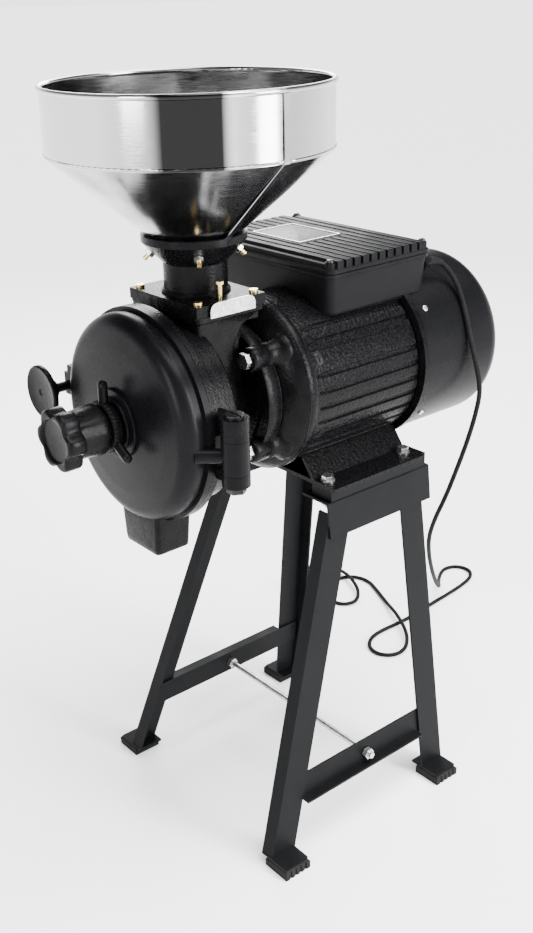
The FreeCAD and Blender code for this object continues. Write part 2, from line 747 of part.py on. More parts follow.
def make_motor_base():
    """Pressed base: a plate with two sloping saddles up to the motor."""
    plate = d.base_plate
    low = d.spacer_top
    top = low + plate
    seat = low + d.shaft_rise - d.frame_radius * 0.8
    slope = pressed("base_slope", "XZ_Plane",
                    [(-d.saddle_foot, top - 0.01), (d.saddle_foot, top - 0.01), (d.saddle_top, seat),
                     (-d.saddle_top, seat)], d.base_length, (0, d.base_y, 0))
    hollow = pressed("base_hollow", "XZ_Plane",
                     [(-(d.saddle_foot - plate * 1.25), top - 0.01), (d.saddle_foot - plate * 1.25, top - 0.01),
                      (d.saddle_top - plate * 1.25, seat + 1), (-(d.saddle_top - plate * 1.25), seat + 1)],
                     d.base_length * 1.1, (0, d.base_y, 0))
    barrel = rod("base_seat", d.frame_radius + 0.05, d.frame_length * 2,
                 (0, d.frame_y - d.frame_length / 2, d.shaft_z))
    saddles = carve("base_saddles", slope, hollow, barrel)
    sheet_plate = block("base_sheet", (-d.base_half, d.base_y - d.base_length / 2, low),
                        (d.base_half, d.base_y + d.base_length / 2, top))
    holes = []
    for index, (x, y) in enumerate(bolt_spots()):
        holes.append(rod("base_hole_%d" % index, d.bolt_radius + d.bolt_clearance, plate * 4,
                         (x, y, low - plate), ALONG_Z))
    keep("motor_base", carve("base_cut", join("base_joined", saddles, sheet_plate), *holes))


def bolt_spots():
    spots = []
    for x in (d.bolt_half, -d.bolt_half):
        for end in (-0.5, 0.5):
            spots.append((x, d.base_y + d.bolt_span * end))
    return spots


def make_motor_bolts():
    bolts = []
    nuts = []
    top = d.spacer_top + d.base_plate
    under = d.stand_height - d.steel_gauge
    for index, (x, y) in enumerate(bolt_spots()):
        washer = rod("bolt_washer_%d" % index, d.washer_radius, d.washer_thick, (x, y, top), ALONG_Z)
        head = hexagon("bolt_head_%d" % index, d.bolt_head, d.bolt_head_thick,
                       (x, y, top + d.washer_thick), ALONG_Z)
        tail = d.bolt_head_thick * 1.6
        shank = rod("bolt_shank_%d" % index, d.bolt_radius, top - under + tail + d.washer_thick,
                    (x, y, under - tail), ALONG_Z)
        bolts.append(join("motor_bolt_%d" % index, washer, head, shank))
        blank = hexagon("nut_blank_%d" % index, d.bolt_head, d.bolt_head_thick,
                        (x, y, under - d.bolt_head_thick), ALONG_Z)
        bore = rod("nut_bore_%d" % index, d.bolt_radius, d.bolt_head_thick * 3,
                   (x, y, under - d.bolt_head_thick * 2), ALONG_Z)
        nuts.append(carve("motor_nut_%d" % index, blank, bore))
    keep("motor_bolts", group("motor_bolts", bolts))
    keep("motor_nuts", group("motor_nuts", nuts))


def make_housing():
    """Round housing with pill-shaped grooves along it, bare under the box and at the base."""
    radius = float(d.frame_radius)
    length = float(d.frame_length)
    start = Vector(0, float(d.frame_y), float(d.shaft_z))
    along = Vector(0, 1, 0)
    shell = plain_cylinder(radius, length, start, along)
    shell = shell.cut(plain_cylinder(radius - float(d.frame_wall), length, start, along))
    depth = float(d.groove_depth)
    half = float(d.groove_width) / 2
    margin = float(d.groove_margin)
    run = length - 2 * (margin + half)
    count = int(d.groove_count.value)
    pills = []
    for number in range(count):
        angle = 360.0 * (number + 0.5) / count
        if 50 < angle < 130 or 232 < angle < 308:
            continue
        bar = Part.makeBox(depth * 2, run, 2 * half, Vector(radius - depth, margin + half, -half))
        ends = [plain_cylinder(half, depth * 2, Vector(radius - depth, y, 0), Vector(1, 0, 0))
                for y in (margin + half, margin + half + run)]
        pill = bar.fuse(ends)
        pill.rotate(Vector(0, 0, 0), along, -angle)
        pill.translate(start)
        pills.append(pill)
    shell = shell.cut(Part.makeCompound(pills))
    pad = Part.makeBox(6, 14, 14, Vector(radius - 5, margin * 0.2, -7))
    pad.rotate(Vector(0, 0, 0), along, -34)
    pad.translate(start)
    bore = plain_cylinder(radius - float(d.frame_wall), length, start, along)
    shell = shell.fuse(pad.cut(bore)).removeSplitter()
    keep("motor_housing", shaped("motor_housing", shell))


def make_shields():
    """Front end shield that carries the mill, and rear end shield inside the fan cover."""
    rim = d.frame_radius + 2
    bore = d.shaft_radius + 0.5
    pocket = d.bearing_radius
    nose = d.mill_rear_y
    front = turned("bell_turned", [
        (bore, nose), (d.nose_radius, nose), (d.nose_radius, d.bell_neck_y), (d.bell_neck, d.bell_neck_y),
        (d.bell_neck + 6, d.bell_neck_y + d.bell_cone * 0.45), (rim - 4, d.bell_rim_y), (rim, d.bell_rim_y),
        (rim, d.frame_y), (pocket + 26, d.frame_y), (pocket + 26, d.frame_y - d.bell_rim),
        (pocket, d.frame_y - d.bell_rim), (pocket, d.frame_y - d.bell_rim - d.bearing_width),
        (bore, d.frame_y - d.bell_rim - d.bearing_width)], (0, 0, d.shaft_z))
    bosses = []
    holes = []
    for index, (x, z) in enumerate(mill_bolt_spots()):
        bosses.append(rod("bell_boss_%d" % index, d.ear_radius, d.ear_rear, (x, d.mill_rear_y, z)))
        holes.append(rod("bell_hole_%d" % index, d.mill_bolt_radius, d.ear_rear * 0.9,
                         (x, d.mill_rear_y - d.ear_rear * 0.1, z)))
    joined = join("bell_joined", front, *bosses)
    keep("front_end_shield", carve("bell_cut", joined, *holes))
    rear = turned("rear_shield_turned", [
        (bore, d.shield_y), (pocket, d.shield_y), (pocket, d.shield_y - d.bearing_width),
        (pocket + 6, d.shield_y - d.bearing_width), (pocket + 6, d.shield_y),
        (d.rear_rim, d.shield_y), (d.rear_rim, d.shield_y + d.rear_shield * 0.55),
        (d.cowl_radius - d.cowl_wall - 0.3, d.shield_y + d.rear_shield * 0.55),
        (d.cowl_radius - d.cowl_wall - 0.3, d.cowl_y), (bore, d.cowl_y)], (0, 0, d.shaft_z))
    keep("rear_end_shield", rear)


def mill_bolt_spots():
    """Centres of the four bolts between mill and motor, across and up."""
    cosine = math.cos(math.radians(float(d.mill_bolt_angle)))
    sine = math.sin(math.radians(float(d.mill_bolt_angle)))
    spots = []
    for across in (1, -1):
        for up in (1, -1):
            spots.append((d.mill_bolt_circle * (cosine * across), d.shaft_z + d.mill_bolt_circle * (sine * up)))
    return spots


def make_mill_bolts():
    bolts = []
    head_y = d.mill_rear_y - d.ear_front
    for index, (x, z) in enumerate(mill_bolt_spots()):
        head = hexagon("mill_head_%d" % index, d.mill_bolt_head, d.mill_bolt_thick,
                       (x, head_y - d.mill_bolt_thick, z))
        shank = rod("mill_shank_%d" % index, d.mill_bolt_radius, d.ear_front + d.ear_rear * 0.7,
                    (x, head_y, z))
        bolts.append(join("mill_bolt_%d" % index, head, shank))
    keep("mill_bolts", group("mill_bolts", bolts))


def make_fan_cover():
    """Drawn sheet cowl with a rounded rear edge and slots in its rear face."""
    wall = d.cowl_wall
    body = turned("cowl_turned", [
        (0, d.cowl_end_y - wall), (d.cowl_radius - wall, d.cowl_end_y - wall),
        (d.cowl_radius - wall, d.shield_y + d.rear_shield * 0.6),
        (d.cowl_radius, d.shield_y + d.rear_shield * 0.6),
        (d.cowl_radius, d.cowl_end_y), (0, d.cowl_end_y)], (0, 0, d.shaft_z))
    rounded(body, "cowl_edge", d.cowl_round,
            lambda edge: circle_at(edge, d.cowl_radius, "y", d.cowl_end_y))
    rounded(body, "cowl_inner_edge", d.cowl_round - wall,
            lambda edge: circle_at(edge, d.cowl_radius - wall, "y", d.cowl_end_y - wall))
    slots = []
    slot = float(d.grille_slot)
    for ring, count in ((26, 6), (46, 10), (66, 14)):
        for step in range(count):
            cut = Part.makeBox(slot, 12, 13, Vector(-slot / 2, float(d.cowl_end_y) - 6, ring - 6.5))
            cut.rotate(Vector(0, 0, 0), Vector(0, 1, 0), 360.0 * step / count)
            cut.translate(Vector(0, 0, float(d.shaft_z)))
            slots.append(cut)
    tool = shaped("cowl_slots", Part.makeCompound(slots))
    screw_holes = []
    for index, (x, z) in enumerate(cowl_screw_spots()):
        screw_holes.append((x, z))
    keep("fan_cover", carve("cowl_cut", body, tool))
    heads = []
    for index, (x, z) in enumerate(screw_holes):
        direction = Vector(float(x), 0, float(z)).normalize()
        start = direction * (float(d.cowl_radius) + 0.05)
        base = Vector(start.x, float(d.cowl_y) + 9, start.z + float(d.shaft_z))
        head = Part.makeCylinder(4, 2.2, base, direction)
        heads.append(head.makeFillet(1.4, [head.Edges[0]]))
    keep("fan_cover_screws", shaped("fan_cover_screws", Part.makeCompound(heads)))


def cowl_screw_spots():
    """Directions of the fan cover's screws, across and up."""
    spots = []
    for angle in (-38, -142, 38, 142):
        spots.append((math.cos(math.radians(angle)), math.sin(math.radians(angle))))
    return spots


def make_motor_inside():
    stack_y = d.frame_y + d.stack_setback
    stator_in = d.rotor_radius + d.air_gap
    stator_out = d.frame_radius - d.frame_wall
    stator = turned("stator_core", [
        (stator_in, stack_y), (stator_out, stack_y), (stator_out, stack_y + d.stack_length),
        (stator_in, stack_y + d.stack_length)], (0, 0, d.shaft_z))
    keep("stator_core", stator)
    coils = []
    for name, start in (("front", stack_y - d.winding_length), ("rear", stack_y + d.stack_length)):
        coil = turned("winding_" + name, [
            (stator_in + 5, start), (stator_out - 9, start), (stator_out - 9, start + d.winding_length),
            (stator_in + 5, start + d.winding_length)], (0, 0, d.shaft_z))
        coils.append(coil)
    keep("stator_windings", group("stator_windings", coils))
    rotor = turned("rotor_core", [
        (d.shaft_radius, stack_y), (d.rotor_radius, stack_y), (d.rotor_radius, stack_y + d.stack_length),
        (d.shaft_radius, stack_y + d.stack_length)], (0, 0, d.shaft_z))
    keep("rotor_core", rotor)
    for name, start in (("front_bearing", d.frame_y - d.bell_rim - d.bearing_width),
                        ("rear_bearing", d.shield_y - d.bearing_width)):
        race = turned(name, [
            (d.shaft_radius + d.shaft_fit, start), (d.bearing_radius, start),
            (d.bearing_radius, start + d.bearing_width),
            (d.shaft_radius + d.shaft_fit, start + d.bearing_width)], (0, 0, d.shaft_z))
        keep(name, race)
    fan_y = d.cowl_y + d.fan_setback
    shoulder = d.frame_y - d.bell_rim - d.bearing_width - 4
    shaft = turned("motor_shaft", [
        (0, d.nose_y + 2), (d.journal_radius, d.nose_y + 2), (d.journal_radius, shoulder),
        (d.shaft_radius, shoulder), (d.shaft_radius, fan_y + d.fan_width), (0, fan_y + d.fan_width)],
        (0, 0, d.shaft_z))
    keep("motor_shaft", shaft)
    hub = plain_cylinder(24, d.fan_width, Vector(0, 0, 0), Vector(0, 1, 0))
    plate = plain_cylinder(d.fan_radius, 3, Vector(0, 0, 0), Vector(0, 1, 0))
    fan = hub.fuse(plate)
    for step in range(int(d.fan_blades.value)):
        blade = Part.makeBox(3, float(d.fan_width), float(d.fan_radius) - 20, Vector(-1.5, 0, 20))
        blade.rotate(Vector(0, 0, 0), Vector(0, 1, 0), 360.0 * step / d.fan_blades.value)
        fan = fan.fuse(blade)
    fan = fan.common(plain_cylinder(d.fan_radius, d.fan_width, Vector(0, 0, 0), Vector(0, 1, 0)))
    fan = fan.cut(plain_cylinder(d.shaft_radius, d.fan_width, Vector(0, 0, 0), Vector(0, 1, 0)))
    fan.translate(Vector(0, float(fan_y), float(d.shaft_z)))
    keep("cooling_fan", shaped("cooling_fan", fan.removeSplitter()))


def make_terminal_box():
    start = d.frame_y + d.box_setback
    end = start + d.box_length
    half = d.box_half
    outer = block("box_outer", (-half, start, d.box_z), (half, end, d.seam_z))
    barrel = rod("box_saddle", d.frame_radius + 0.3, d.frame_length * 2,
                 (0, d.frame_y - d.frame_length / 2, d.shaft_z))
    rear_rim = rod("box_rear_saddle", d.rear_rim + 0.3, d.rear_shield * 0.6, (0, d.shield_y, d.shaft_z))
    cowl = rod("box_cowl_saddle", d.cowl_radius + 0.5, d.cowl_length, (0, d.shield_y + 1, d.shaft_z))
    wall = d.box_wall
    inside = block("box_inside", (wall - half, start + wall, d.box_z - 1), (half - wall, end - wall, d.seam_z + 1))
    floor = rod("box_floor", d.frame_radius + wall + 0.3, d.frame_length * 2,
                (0, d.frame_y - d.frame_length / 2, d.shaft_z))
    rear_floor = rod("box_rear_floor", d.rear_rim + wall + 0.5, d.rear_shield * 2,
                     (0, d.shield_y - wall, d.shaft_z))
    room = carve("box_room", inside, floor, rear_floor)
    gland_hole = rod("box_gland_hole", d.gland_radius * 0.7, wall * 4, gland_spot(end - wall * 2))
    box = carve("box_cut", outer, barrel, rear_rim, cowl, room, gland_hole)
    keep("terminal_box", box)

    over = d.lid_over
    lid = block("lid_block", (-half - over, start - over, d.seam_z), (half + over, end + over, d.lid_z))
    cuts = []
    count = int((float(d.box_length) - 6) // float(d.lid_pitch))
    for step in range(count):
        y = start + d.lid_pitch * (step + 0.75)
        cuts.append(block("lid_groove_%d" % step, (-half * 0.86, y, d.lid_z - d.lid_groove),
                          (half + over + 1, y + 2.6, d.lid_z + 1)))
    keep("terminal_box_lid", carve("lid_cut", lid, *cuts))
    plate = block("plate_block", (-half * 0.62, start + d.box_length * 0.28, d.lid_z + 0.05),
                  (half * 0.38, start + d.box_length * 0.72, d.lid_z + 0.05 + d.plate_thick))
    keep("bare_plate", plate)
    heads = []
    for index, (x, y) in enumerate(((1, 0), (1, 1), (-1, 0), (-1, 1))):
        spot_y = start + 1 if y == 0 else end - 1
        heads.append(rod("lid_head_%d" % index, d.lid_screw, 2.4,
                         ((half - 1) * x, spot_y, d.lid_z + 0.05), ALONG_Z))
    keep("lid_screws", group("lid_screws", heads))
    cans = []
    for index, side in enumerate((1, -1)):
        cans.append(rod("can_%d" % index, d.capacitor_radius, d.capacitor_length,
                        (half * (0.68 * side), start + 12, d.shaft_z + d.box_seam - d.capacitor_radius - 2)))
    keep("capacitors", group("capacitors", cans))
    strip = block("terminal_block", (-20, start + 60, d.seam_z - 17), (20, start + 78, d.seam_z - 5))
    keep("terminal_block", strip)
    flange = rod("gland_flange", d.gland_radius, d.gland_length, gland_spot(end + 0.05))
    collar = hexagon("gland_collar", d.gland_radius * 1.35, d.gland_length * 0.35, gland_spot(end + 0.05))
    bore = rod("gland_bore", d.cord_radius, d.gland_length * 3, gland_spot(end - d.gland_length))
    keep("cable_gland", carve("gland_cut", join("gland_joined", flange, collar), bore))


def gland_spot(y):
    return (d.box_half - 14, y, d.seam_z - 16)


def make_mill_body():
    """Cast body: drum, chute, feed barrel, platform for the throat, hinge and clamp lugs."""
    inner = d.drum_radius - d.drum_wall
    shell = turned("drum_turned", [
        (d.barrel_bore, d.fixed_burr_y), (inner, d.fixed_burr_y), (inner, d.joint_y),
        (d.joint_radius, d.joint_y), (d.joint_radius, d.joint_y + d.joint_flange),
        (d.drum_radius, d.joint_y + d.joint_flange), (d.drum_radius, d.drum_back_y - 8),
        (d.drum_radius - 8, d.drum_back_y), (d.barrel_radius + 8, d.drum_back_y),
        (d.barrel_radius, d.drum_back_y + 8), (d.barrel_radius, d.flange_front_y),
        (d.mill_flange_radius, d.flange_front_y), (d.mill_flange_radius, d.mill_rear_y),
        (d.journal_radius + 6, d.mill_rear_y), (d.journal_radius + 6, d.mill_rear_y - d.mill_flange),
        (d.barrel_bore, d.mill_rear_y - d.mill_flange)], (0, 0, d.shaft_z))
    ears = []
    ear_holes = []
    for index, (x, z) in enumerate(mill_bolt_spots()):
        ears.append(rod("ear_%d" % index, d.ear_radius, d.ear_front, (x, d.mill_rear_y - d.ear_front, z)))
        web = Part.makeBox(float(d.ear_radius) * 1.2, float(d.mill_flange), float(d.mill_bolt_circle) - 20,
                           Vector(-float(d.ear_radius) * 0.6, 0, 20))
        tilt = math.degrees(math.atan2(float(x), float(z - d.shaft_z)))
        web.rotate(Vector(0, 0, 0), Vector(0, 1, 0), tilt)
        web.translate(Vector(0, float(d.flange_front_y), float(d.shaft_z)))
        hollow = plain_cylinder(d.barrel_radius, 200, Vector(0, float(d.flange_front_y) - 50, float(d.shaft_z)),
                                Vector(0, 1, 0))
        ears.append(shaped("ear_web_%d" % index, web.cut(hollow)))
        ear_holes.append(rod("ear_hole_%d" % index, d.mill_bolt_radius, d.ear_front * 2,
                             (x, d.mill_rear_y - d.ear_front * 1.5, z)))
    half_depth = d.platform_depth / 2
    tower_top = d.platform_z - d.gate_slot
    tower = block("tower", (-d.passage_half - 9, d.throat_y - d.passage_half * 0.9, d.shaft_z + 10),
                  (d.passage_half + 9, d.throat_y + d.passage_half + 4, tower_top))
    table = block("table", (-d.platform_half, d.throat_y - half_depth, tower_top - 14),
                  (d.platform_half, d.throat_y + half_depth, tower_top))
    rib_near = block("table_rib", (d.passage_half + 5, d.throat_y - d.passage_half * 0.9, d.shaft_z + 70),
                     (d.platform_half - 4, d.throat_y + 16, tower_top - 10))
    rib_far = block("table_rib_far", (4 - d.platform_half, d.throat_y - d.passage_half * 0.9, d.shaft_z + 70),
                    (-d.passage_half - 5, d.throat_y + 16, tower_top - 10))
    passage = rod("passage", d.passage_half - 2, d.platform_rise, (0, d.throat_y, d.shaft_z), ALONG_Z)

    chute_front = d.joint_y - d.chute_ahead
    chute_rear = chute_front + d.chute_depth
    wall = d.chute_wall
    chute = block("chute_outer", (-d.chute_half, chute_front, d.chute_z),
                  (d.chute_half, chute_rear, d.shaft_z - inner))
    chute_inside = block("chute_inner", (wall - d.chute_half, chute_front + wall, d.chute_z - 1),
                         (d.chute_half - wall, chute_rear - wall, d.shaft_z - inner * 0.8))
    chute_relief = rod("chute_relief", d.joint_radius + 2, d.chute_ahead + 5,
                       (0, chute_front - 5, d.shaft_z))
    drum_room = rod("drum_room", inner, d.drum_depth - d.drum_back, (0, d.joint_y, d.shaft_z))
    chute_cut = carve("chute_trimmed", chute, chute_relief, drum_room)

    knuckles = []
    for name, low, high in body_knuckles():
        knuckles.append(rod("knuckle_" + name, d.knuckle_radius, high - low, (d.hinge_out, d.hinge_y, low), ALONG_Z))
        knuckles.append(block("knuckle_web_" + name, (d.drum_radius - 12, d.hinge_y - 7, low + 1),
                              (d.hinge_out - 4, d.hinge_y + 9, high - 1)))
    pin_hole = rod("pin_hole", d.pin_radius, d.knuckle_mid * 5,
                   (d.hinge_out, d.hinge_y, d.hinge_z - d.knuckle_mid * 2.5), ALONG_Z)
    gap_low = d.hinge_z - d.knuckle_mid / 2 - d.knuckle_gap
    gap_high = d.hinge_z + d.knuckle_mid / 2 + d.knuckle_gap
    hinge_room = block("hinge_room", (d.drum_radius + 0.5, d.joint_y - 5, gap_low),
                       (d.hinge_out + 30, d.hinge_y + 30, gap_high))
    lug = block("lug_body", (-d.clamp_out - d.lug_edge, d.joint_y, d.shaft_z - d.lug_half),
                (-d.drum_radius + 6, d.joint_y + d.lug_thick, d.shaft_z + d.lug_half))
    lug_hole = rod("lug_hole", d.clamp_radius + d.clamp_play, d.lug_thick * 3,
                   (-d.clamp_out, d.joint_y - d.lug_thick, d.shaft_z))
    whole = join("mill_joined", shell, tower, table, rib_near, rib_far, chute_cut, lug, *(ears + knuckles))
    clear_drum = rod("clear_drum", d.burr_radius + 2, d.drum_depth - d.drum_back,
                     (0, d.joint_y, d.shaft_z))
    bore = rod("barrel_room", d.barrel_bore, d.mill_stack - d.mill_flange - 1,
               (0, d.joint_y, d.shaft_z))
    body = carve("mill_cut", whole, passage, chute_inside, pin_hole, hinge_room, lug_hole, bore, clear_drum,
                 *ear_holes)
    keep("mill_body", body)


def body_knuckles():
    """Name, lower end and upper end of the body's hinge knuckles."""
    low = d.hinge_z - d.knuckle_mid / 2 - d.knuckle_gap
    high = d.hinge_z + d.knuckle_mid / 2 + d.knuckle_gap
    return (("top", high, high + d.knuckle_top), ("low", low - d.knuckle_low, low))


def make_hinge_pin():
    low = d.hinge_z - d.knuckle_mid / 2 - d.knuckle_gap - d.knuckle_low
    high = d.hinge_z + d.knuckle_mid / 2 + d.knuckle_gap + d.knuckle_top
    shank = rod("pin_shank", d.pin_radius, high - low + 3, (d.hinge_out, d.hinge_y, low), ALONG_Z)
    head = hexagon("pin_head", d.pin_radius * 1.6, 8, (d.hinge_out, d.hinge_y, low - 8), ALONG_Z)
    cap = rod("pin_cap", d.pin_radius * 1.7, 4, (d.hinge_out, d.hinge_y, high), ALONG_Z)
    slot = block("pin_slot", (d.hinge_out - 20, d.hinge_y - 1, high + 2.2), (d.hinge_out + 20, d.hinge_y + 1, high + 9))
    keep("hinge_pin", carve("pin_cut", join("pin_joined", shank, head, cap), slot))


def make_cover():
    """Dished cover with a stepped boss for the adjusting screw, a hinge arm and a clamp lug."""
    face = d.cover_face_y
    joint = d.joint_y - d.joint_gap
    inner = d.cover_radius - d.cover_wall
    bore = d.screw_radius + d.screw_fit
    body = turned("cover_turned", [
        (bore, d.collar_y), (d.collar_radius, d.collar_y), (d.collar_radius, d.boss_y),
        (d.boss_radius, d.boss_y), (d.boss_radius, face - 1), (d.cover_radius * 0.7, face + 2),
        (d.cover_radius, face + 6), (d.cover_radius, joint - d.joint_flange),
        (d.joint_radius, joint - d.joint_flange), (d.joint_radius, joint), (inner, joint),
        (inner, face + 6 + d.cover_wall), (d.cover_radius * 0.7, face + 3 + d.cover_wall),
        (bore, face + 2 + d.cover_wall)], (0, 0, d.shaft_z))
    rounded(body, "cover_edge", d.cover_round,
            lambda edge: circle_at(edge, d.cover_radius, "y", float(face) + 6))
    rounded(body, "cover_steps", 1.5,
            lambda edge: circle_at(edge, d.collar_radius, "y", d.collar_y)
            or circle_at(edge, d.boss_radius, "y", d.boss_y))
    arm_start = Vector(float(d.hinge_out), float(d.hinge_y), float(d.hinge_z))
    arm_end = Vector(float(d.cover_radius) - 5, float(d.joint_y) - 20, float(d.hinge_z))
    reach = arm_end - arm_start
    arm = shaped("hinge_arm", plain_cylinder(d.arm_radius, reach.Length, arm_start, reach))
    knuckle = rod("cover_knuckle", d.knuckle_radius, d.knuckle_mid,
                  (d.hinge_out, d.hinge_y, d.hinge_z - d.knuckle_mid / 2), ALONG_Z)
    pin_room = rod("cover_pin_room", d.pin_radius + d.pin_fit, d.knuckle_mid * 3,
                   (d.hinge_out, d.hinge_y, d.hinge_z - d.knuckle_mid * 1.5), ALONG_Z)
    lug_front = joint - d.lug_thick
    lug = block("lug_cover", (-d.clamp_out - d.lug_edge, lug_front, d.shaft_z - d.lug_half),
                (-d.cover_radius + 10, joint, d.shaft_z + d.lug_half))
    ear = block("lug_block", (-d.clamp_out - d.lug_edge * 0.4, lug_front, d.shaft_z + d.lug_half - 1),
                (-d.cover_radius - 2, joint, d.shaft_z + d.lug_half + d.lug_top))
    lug_hole = rod("cover_lug_hole", d.clamp_radius + d.screw_fit, d.lug_thick * 3,
                   (-d.clamp_out, lug_front - d.lug_thick, d.shaft_z))
    room = rod("cover_room", inner, d.cover_depth - d.cover_wall - 7, (0, face + 7 + d.cover_wall, d.shaft_z))
    notch = block("cover_outlet", (d.chute_wall - d.chute_half, d.joint_y - d.chute_ahead + d.chute_wall,
                                   d.shaft_z - d.joint_radius * 1.1),
                  (d.chute_half - d.chute_wall, d.joint_y + 5, d.shaft_z - inner * 0.8))
    solid = join("cover_joined", body, carve("arm_trimmed", arm, room), knuckle, lug, ear)
    keep("front_cover", carve("cover_cut", solid, pin_room, lug_hole, notch))


def make_lock_ring():
    """Ring nut with three spokes that locks the adjusting screw."""
    ring = turned("lock_turned", [
        (d.screw_radius + d.screw_fit, d.lock_front_y), (d.lock_radius - 1.5, d.lock_front_y),
        (d.lock_radius, d.lock_front_y + 1.5), (d.lock_radius, d.lock_y - 1.5),
        (d.lock_radius - 1.5, d.lock_y), (d.screw_radius + d.screw_fit, d.lock_y)], (0, 0, d.shaft_z))
    middle = float(d.lock_front_y + d.lock_thick / 2)
    spokes = []
    for angle in (88, -32, 208):
        out = Vector(math.cos(math.radians(angle)), 0, math.sin(math.radians(angle)))
        base = Vector(0, middle, float(d.shaft_z)) + out * (float(d.lock_radius) - 4)
        length = float(d.spoke_reach - d.lock_radius) + 4
        spoke = Part.makeCone(float(d.spoke_radius) - 0.8, float(d.spoke_radius), length, base, out)
        spoke = spoke.makeFillet(1.6, [edge for edge in spoke.Edges
                                       if circle_near(edge, float(d.spoke_radius))])
        spokes.append(spoke)
    spoke_set = shaped("lock_spokes", Part.makeCompound(spokes))
    keep("lock_ring", join("lock_joined", ring, spoke_set))


def circle_near(edge, radius):
    return isinstance(edge.Curve, Part.Circle) and abs(edge.Curve.Radius - radius) < 0.01


def make_adjuster():
    """Adjusting screw and star knob, with the thrust ball at the screw's tip."""
    front = d.hub_y - d.hub_length * 0.9
    screw = turned("adjusting_screw", [
        (0, front), (d.screw_radius, front), (d.screw_radius, d.screw_tip_y - 4),
        (d.screw_radius - 4, d.screw_tip_y), (d.ball_radius + d.ball_gap, d.screw_tip_y),
        (d.ball_radius + d.ball_gap, d.ball_y - d.ball_radius - d.ball_gap),
        (0, d.ball_y - d.ball_radius - d.ball_gap)], (0, 0, d.shaft_z))
    keep("adjusting_screw", screw)
    ball = helper("Part::Sphere", "thrust_ball")
    ball.Radius = float(d.ball_radius)
    bind(ball, "Radius", d.ball_radius)
    keep("thrust_ball", put(ball, (0, d.ball_y, d.shaft_z)))
    keep("star_knob", shaped("star_knob", star_knob_shape()))


def star_knob_shape():
    """Five-lobed knob with a round hub and a dished face."""
    lobes = 5
    reach = float(d.star_radius)
    lobe = float(d.lobe_radius)
    thick = float(d.star_thick)
    core = plain_cylinder(reach - lobe * 0.55, thick, Vector(0, 0, 0), Vector(0, 1, 0))
    for step in range(lobes):
        angle = math.radians(90 + 360.0 * step / lobes)
        spot = Vector((reach - lobe) * math.cos(angle), 0, (reach - lobe) * math.sin(angle))
        core = core.fuse(plain_cylinder(lobe, thick, spot, Vector(0, 1, 0)))
    core = core.removeSplitter()
    for step in range(lobes):
        angle = math.radians(90 + 360.0 * (step + 0.5) / lobes)
        spot = Vector((reach + 3) * math.cos(angle), -1, (reach + 3) * math.sin(angle))
        core = core.cut(plain_cylinder(lobe * 0.95, thick + 2, spot, Vector(0, 1, 0)))
    rim = [edge for edge in core.Edges if edge.BoundBox.YLength < 0.01]
    core = core.makeFillet(2.5, rim)
    dish = Part.makeCone(float(d.dish_radius), float(d.dish_radius) - 2.5, float(d.dish_depth),
                         Vector(0, -0.001, 0), Vector(0, 1, 0))
    core = core.cut(dish)
    hub = plain_cylinder(d.hub_radius, d.hub_length, Vector(0, thick, 0), Vector(0, 1, 0))
    hub = hub.makeFillet(2, [edge for edge in hub.Edges if abs(edge.BoundBox.YMin - hub.BoundBox.YMax) < 0.01])
    knob = core.fuse(hub)
    bore = plain_cylinder(d.screw_radius, d.hub_length * 0.9,
                          Vector(0, thick + float(d.hub_length) * 0.1, 0), Vector(0, 1, 0))
    knob = knob.cut(bore)
    knob.translate(Vector(0, float(d.knob_y), float(d.shaft_z)))
    return knob


def make_clamp():
    """Hand screw that clamps the cover shut."""
    joint = d.joint_y - d.joint_gap
    lug_front = joint - d.lug_thick
    hub_front = lug_front - 0.3 - d.clamp_hub_length
    disc_front = hub_front - d.clamp_disc_thick
    knob = turned("clamp_turned", [
        (0, disc_front + 4), (d.clamp_disc * 0.72, disc_front + 3), (d.clamp_disc - 2, disc_front),
        (d.clamp_disc, disc_front + 3), (d.clamp_disc - 1, disc_front + 8),
        (d.clamp_hub + 2, hub_front), (d.clamp_hub, hub_front + 3),
        (d.clamp_hub, lug_front - 0.3), (d.clamp_radius, lug_front - 0.3),
        (d.clamp_radius, d.joint_y + d.lug_thick + 3), (0, d.joint_y + d.lug_thick + 3)],
        (-d.clamp_out, 0, d.shaft_z))
    dimple = rod("clamp_dimple", 3.5, 5, (-d.clamp_out, disc_front + 2, d.shaft_z))
    keep("clamp_screw", carve("clamp_cut", knob, dimple))


def burr_shape(front, grooves_on_front):
    """Ring with slanted radial grooves on its working face."""
    thick = float(d.burr_thick)
    burr = plain_cylinder(d.burr_radius, thick, Vector(0, 0, 0), Vector(0, 1, 0))
    burr = burr.cut(plain_cylinder(d.burr_bore, thick, Vector(0, 0, 0), Vector(0, 1, 0)))
    depth = float(d.burr_groove)
    count = int(d.burr_grooves.value)
    y = 0 if grooves_on_front else thick - depth
    for step in range(count):
        groove = Part.makeBox(3, depth, float(d.burr_radius), Vector(-1.5 + 8, y, 18))
        groove.rotate(Vector(0, 0, 0), Vector(0, 1, 0), 360.0 * step / count)
        burr = burr.cut(groove)
    burr.translate(Vector(0, float(front), float(d.shaft_z)))
    return burr


def make_burrs():
    keep("fixed_burr", shaped("fixed_burr", burr_shape(d.burr_face_y, True)))
    keep("moving_burr", shaped("moving_burr", burr_shape(d.carrier_y, False)))
    bore = d.journal_radius + d.shaft_fit
    plate = turned("burr_carrier", [
        (bore, d.nose_y), (d.worm_core, d.nose_y), (d.burr_radius - 1, d.nose_y), (d.burr_radius - 1, d.carrier_y),
        (bore, d.carrier_y)], (0, 0, d.shaft_z))
    keep("burr_carrier", plate)


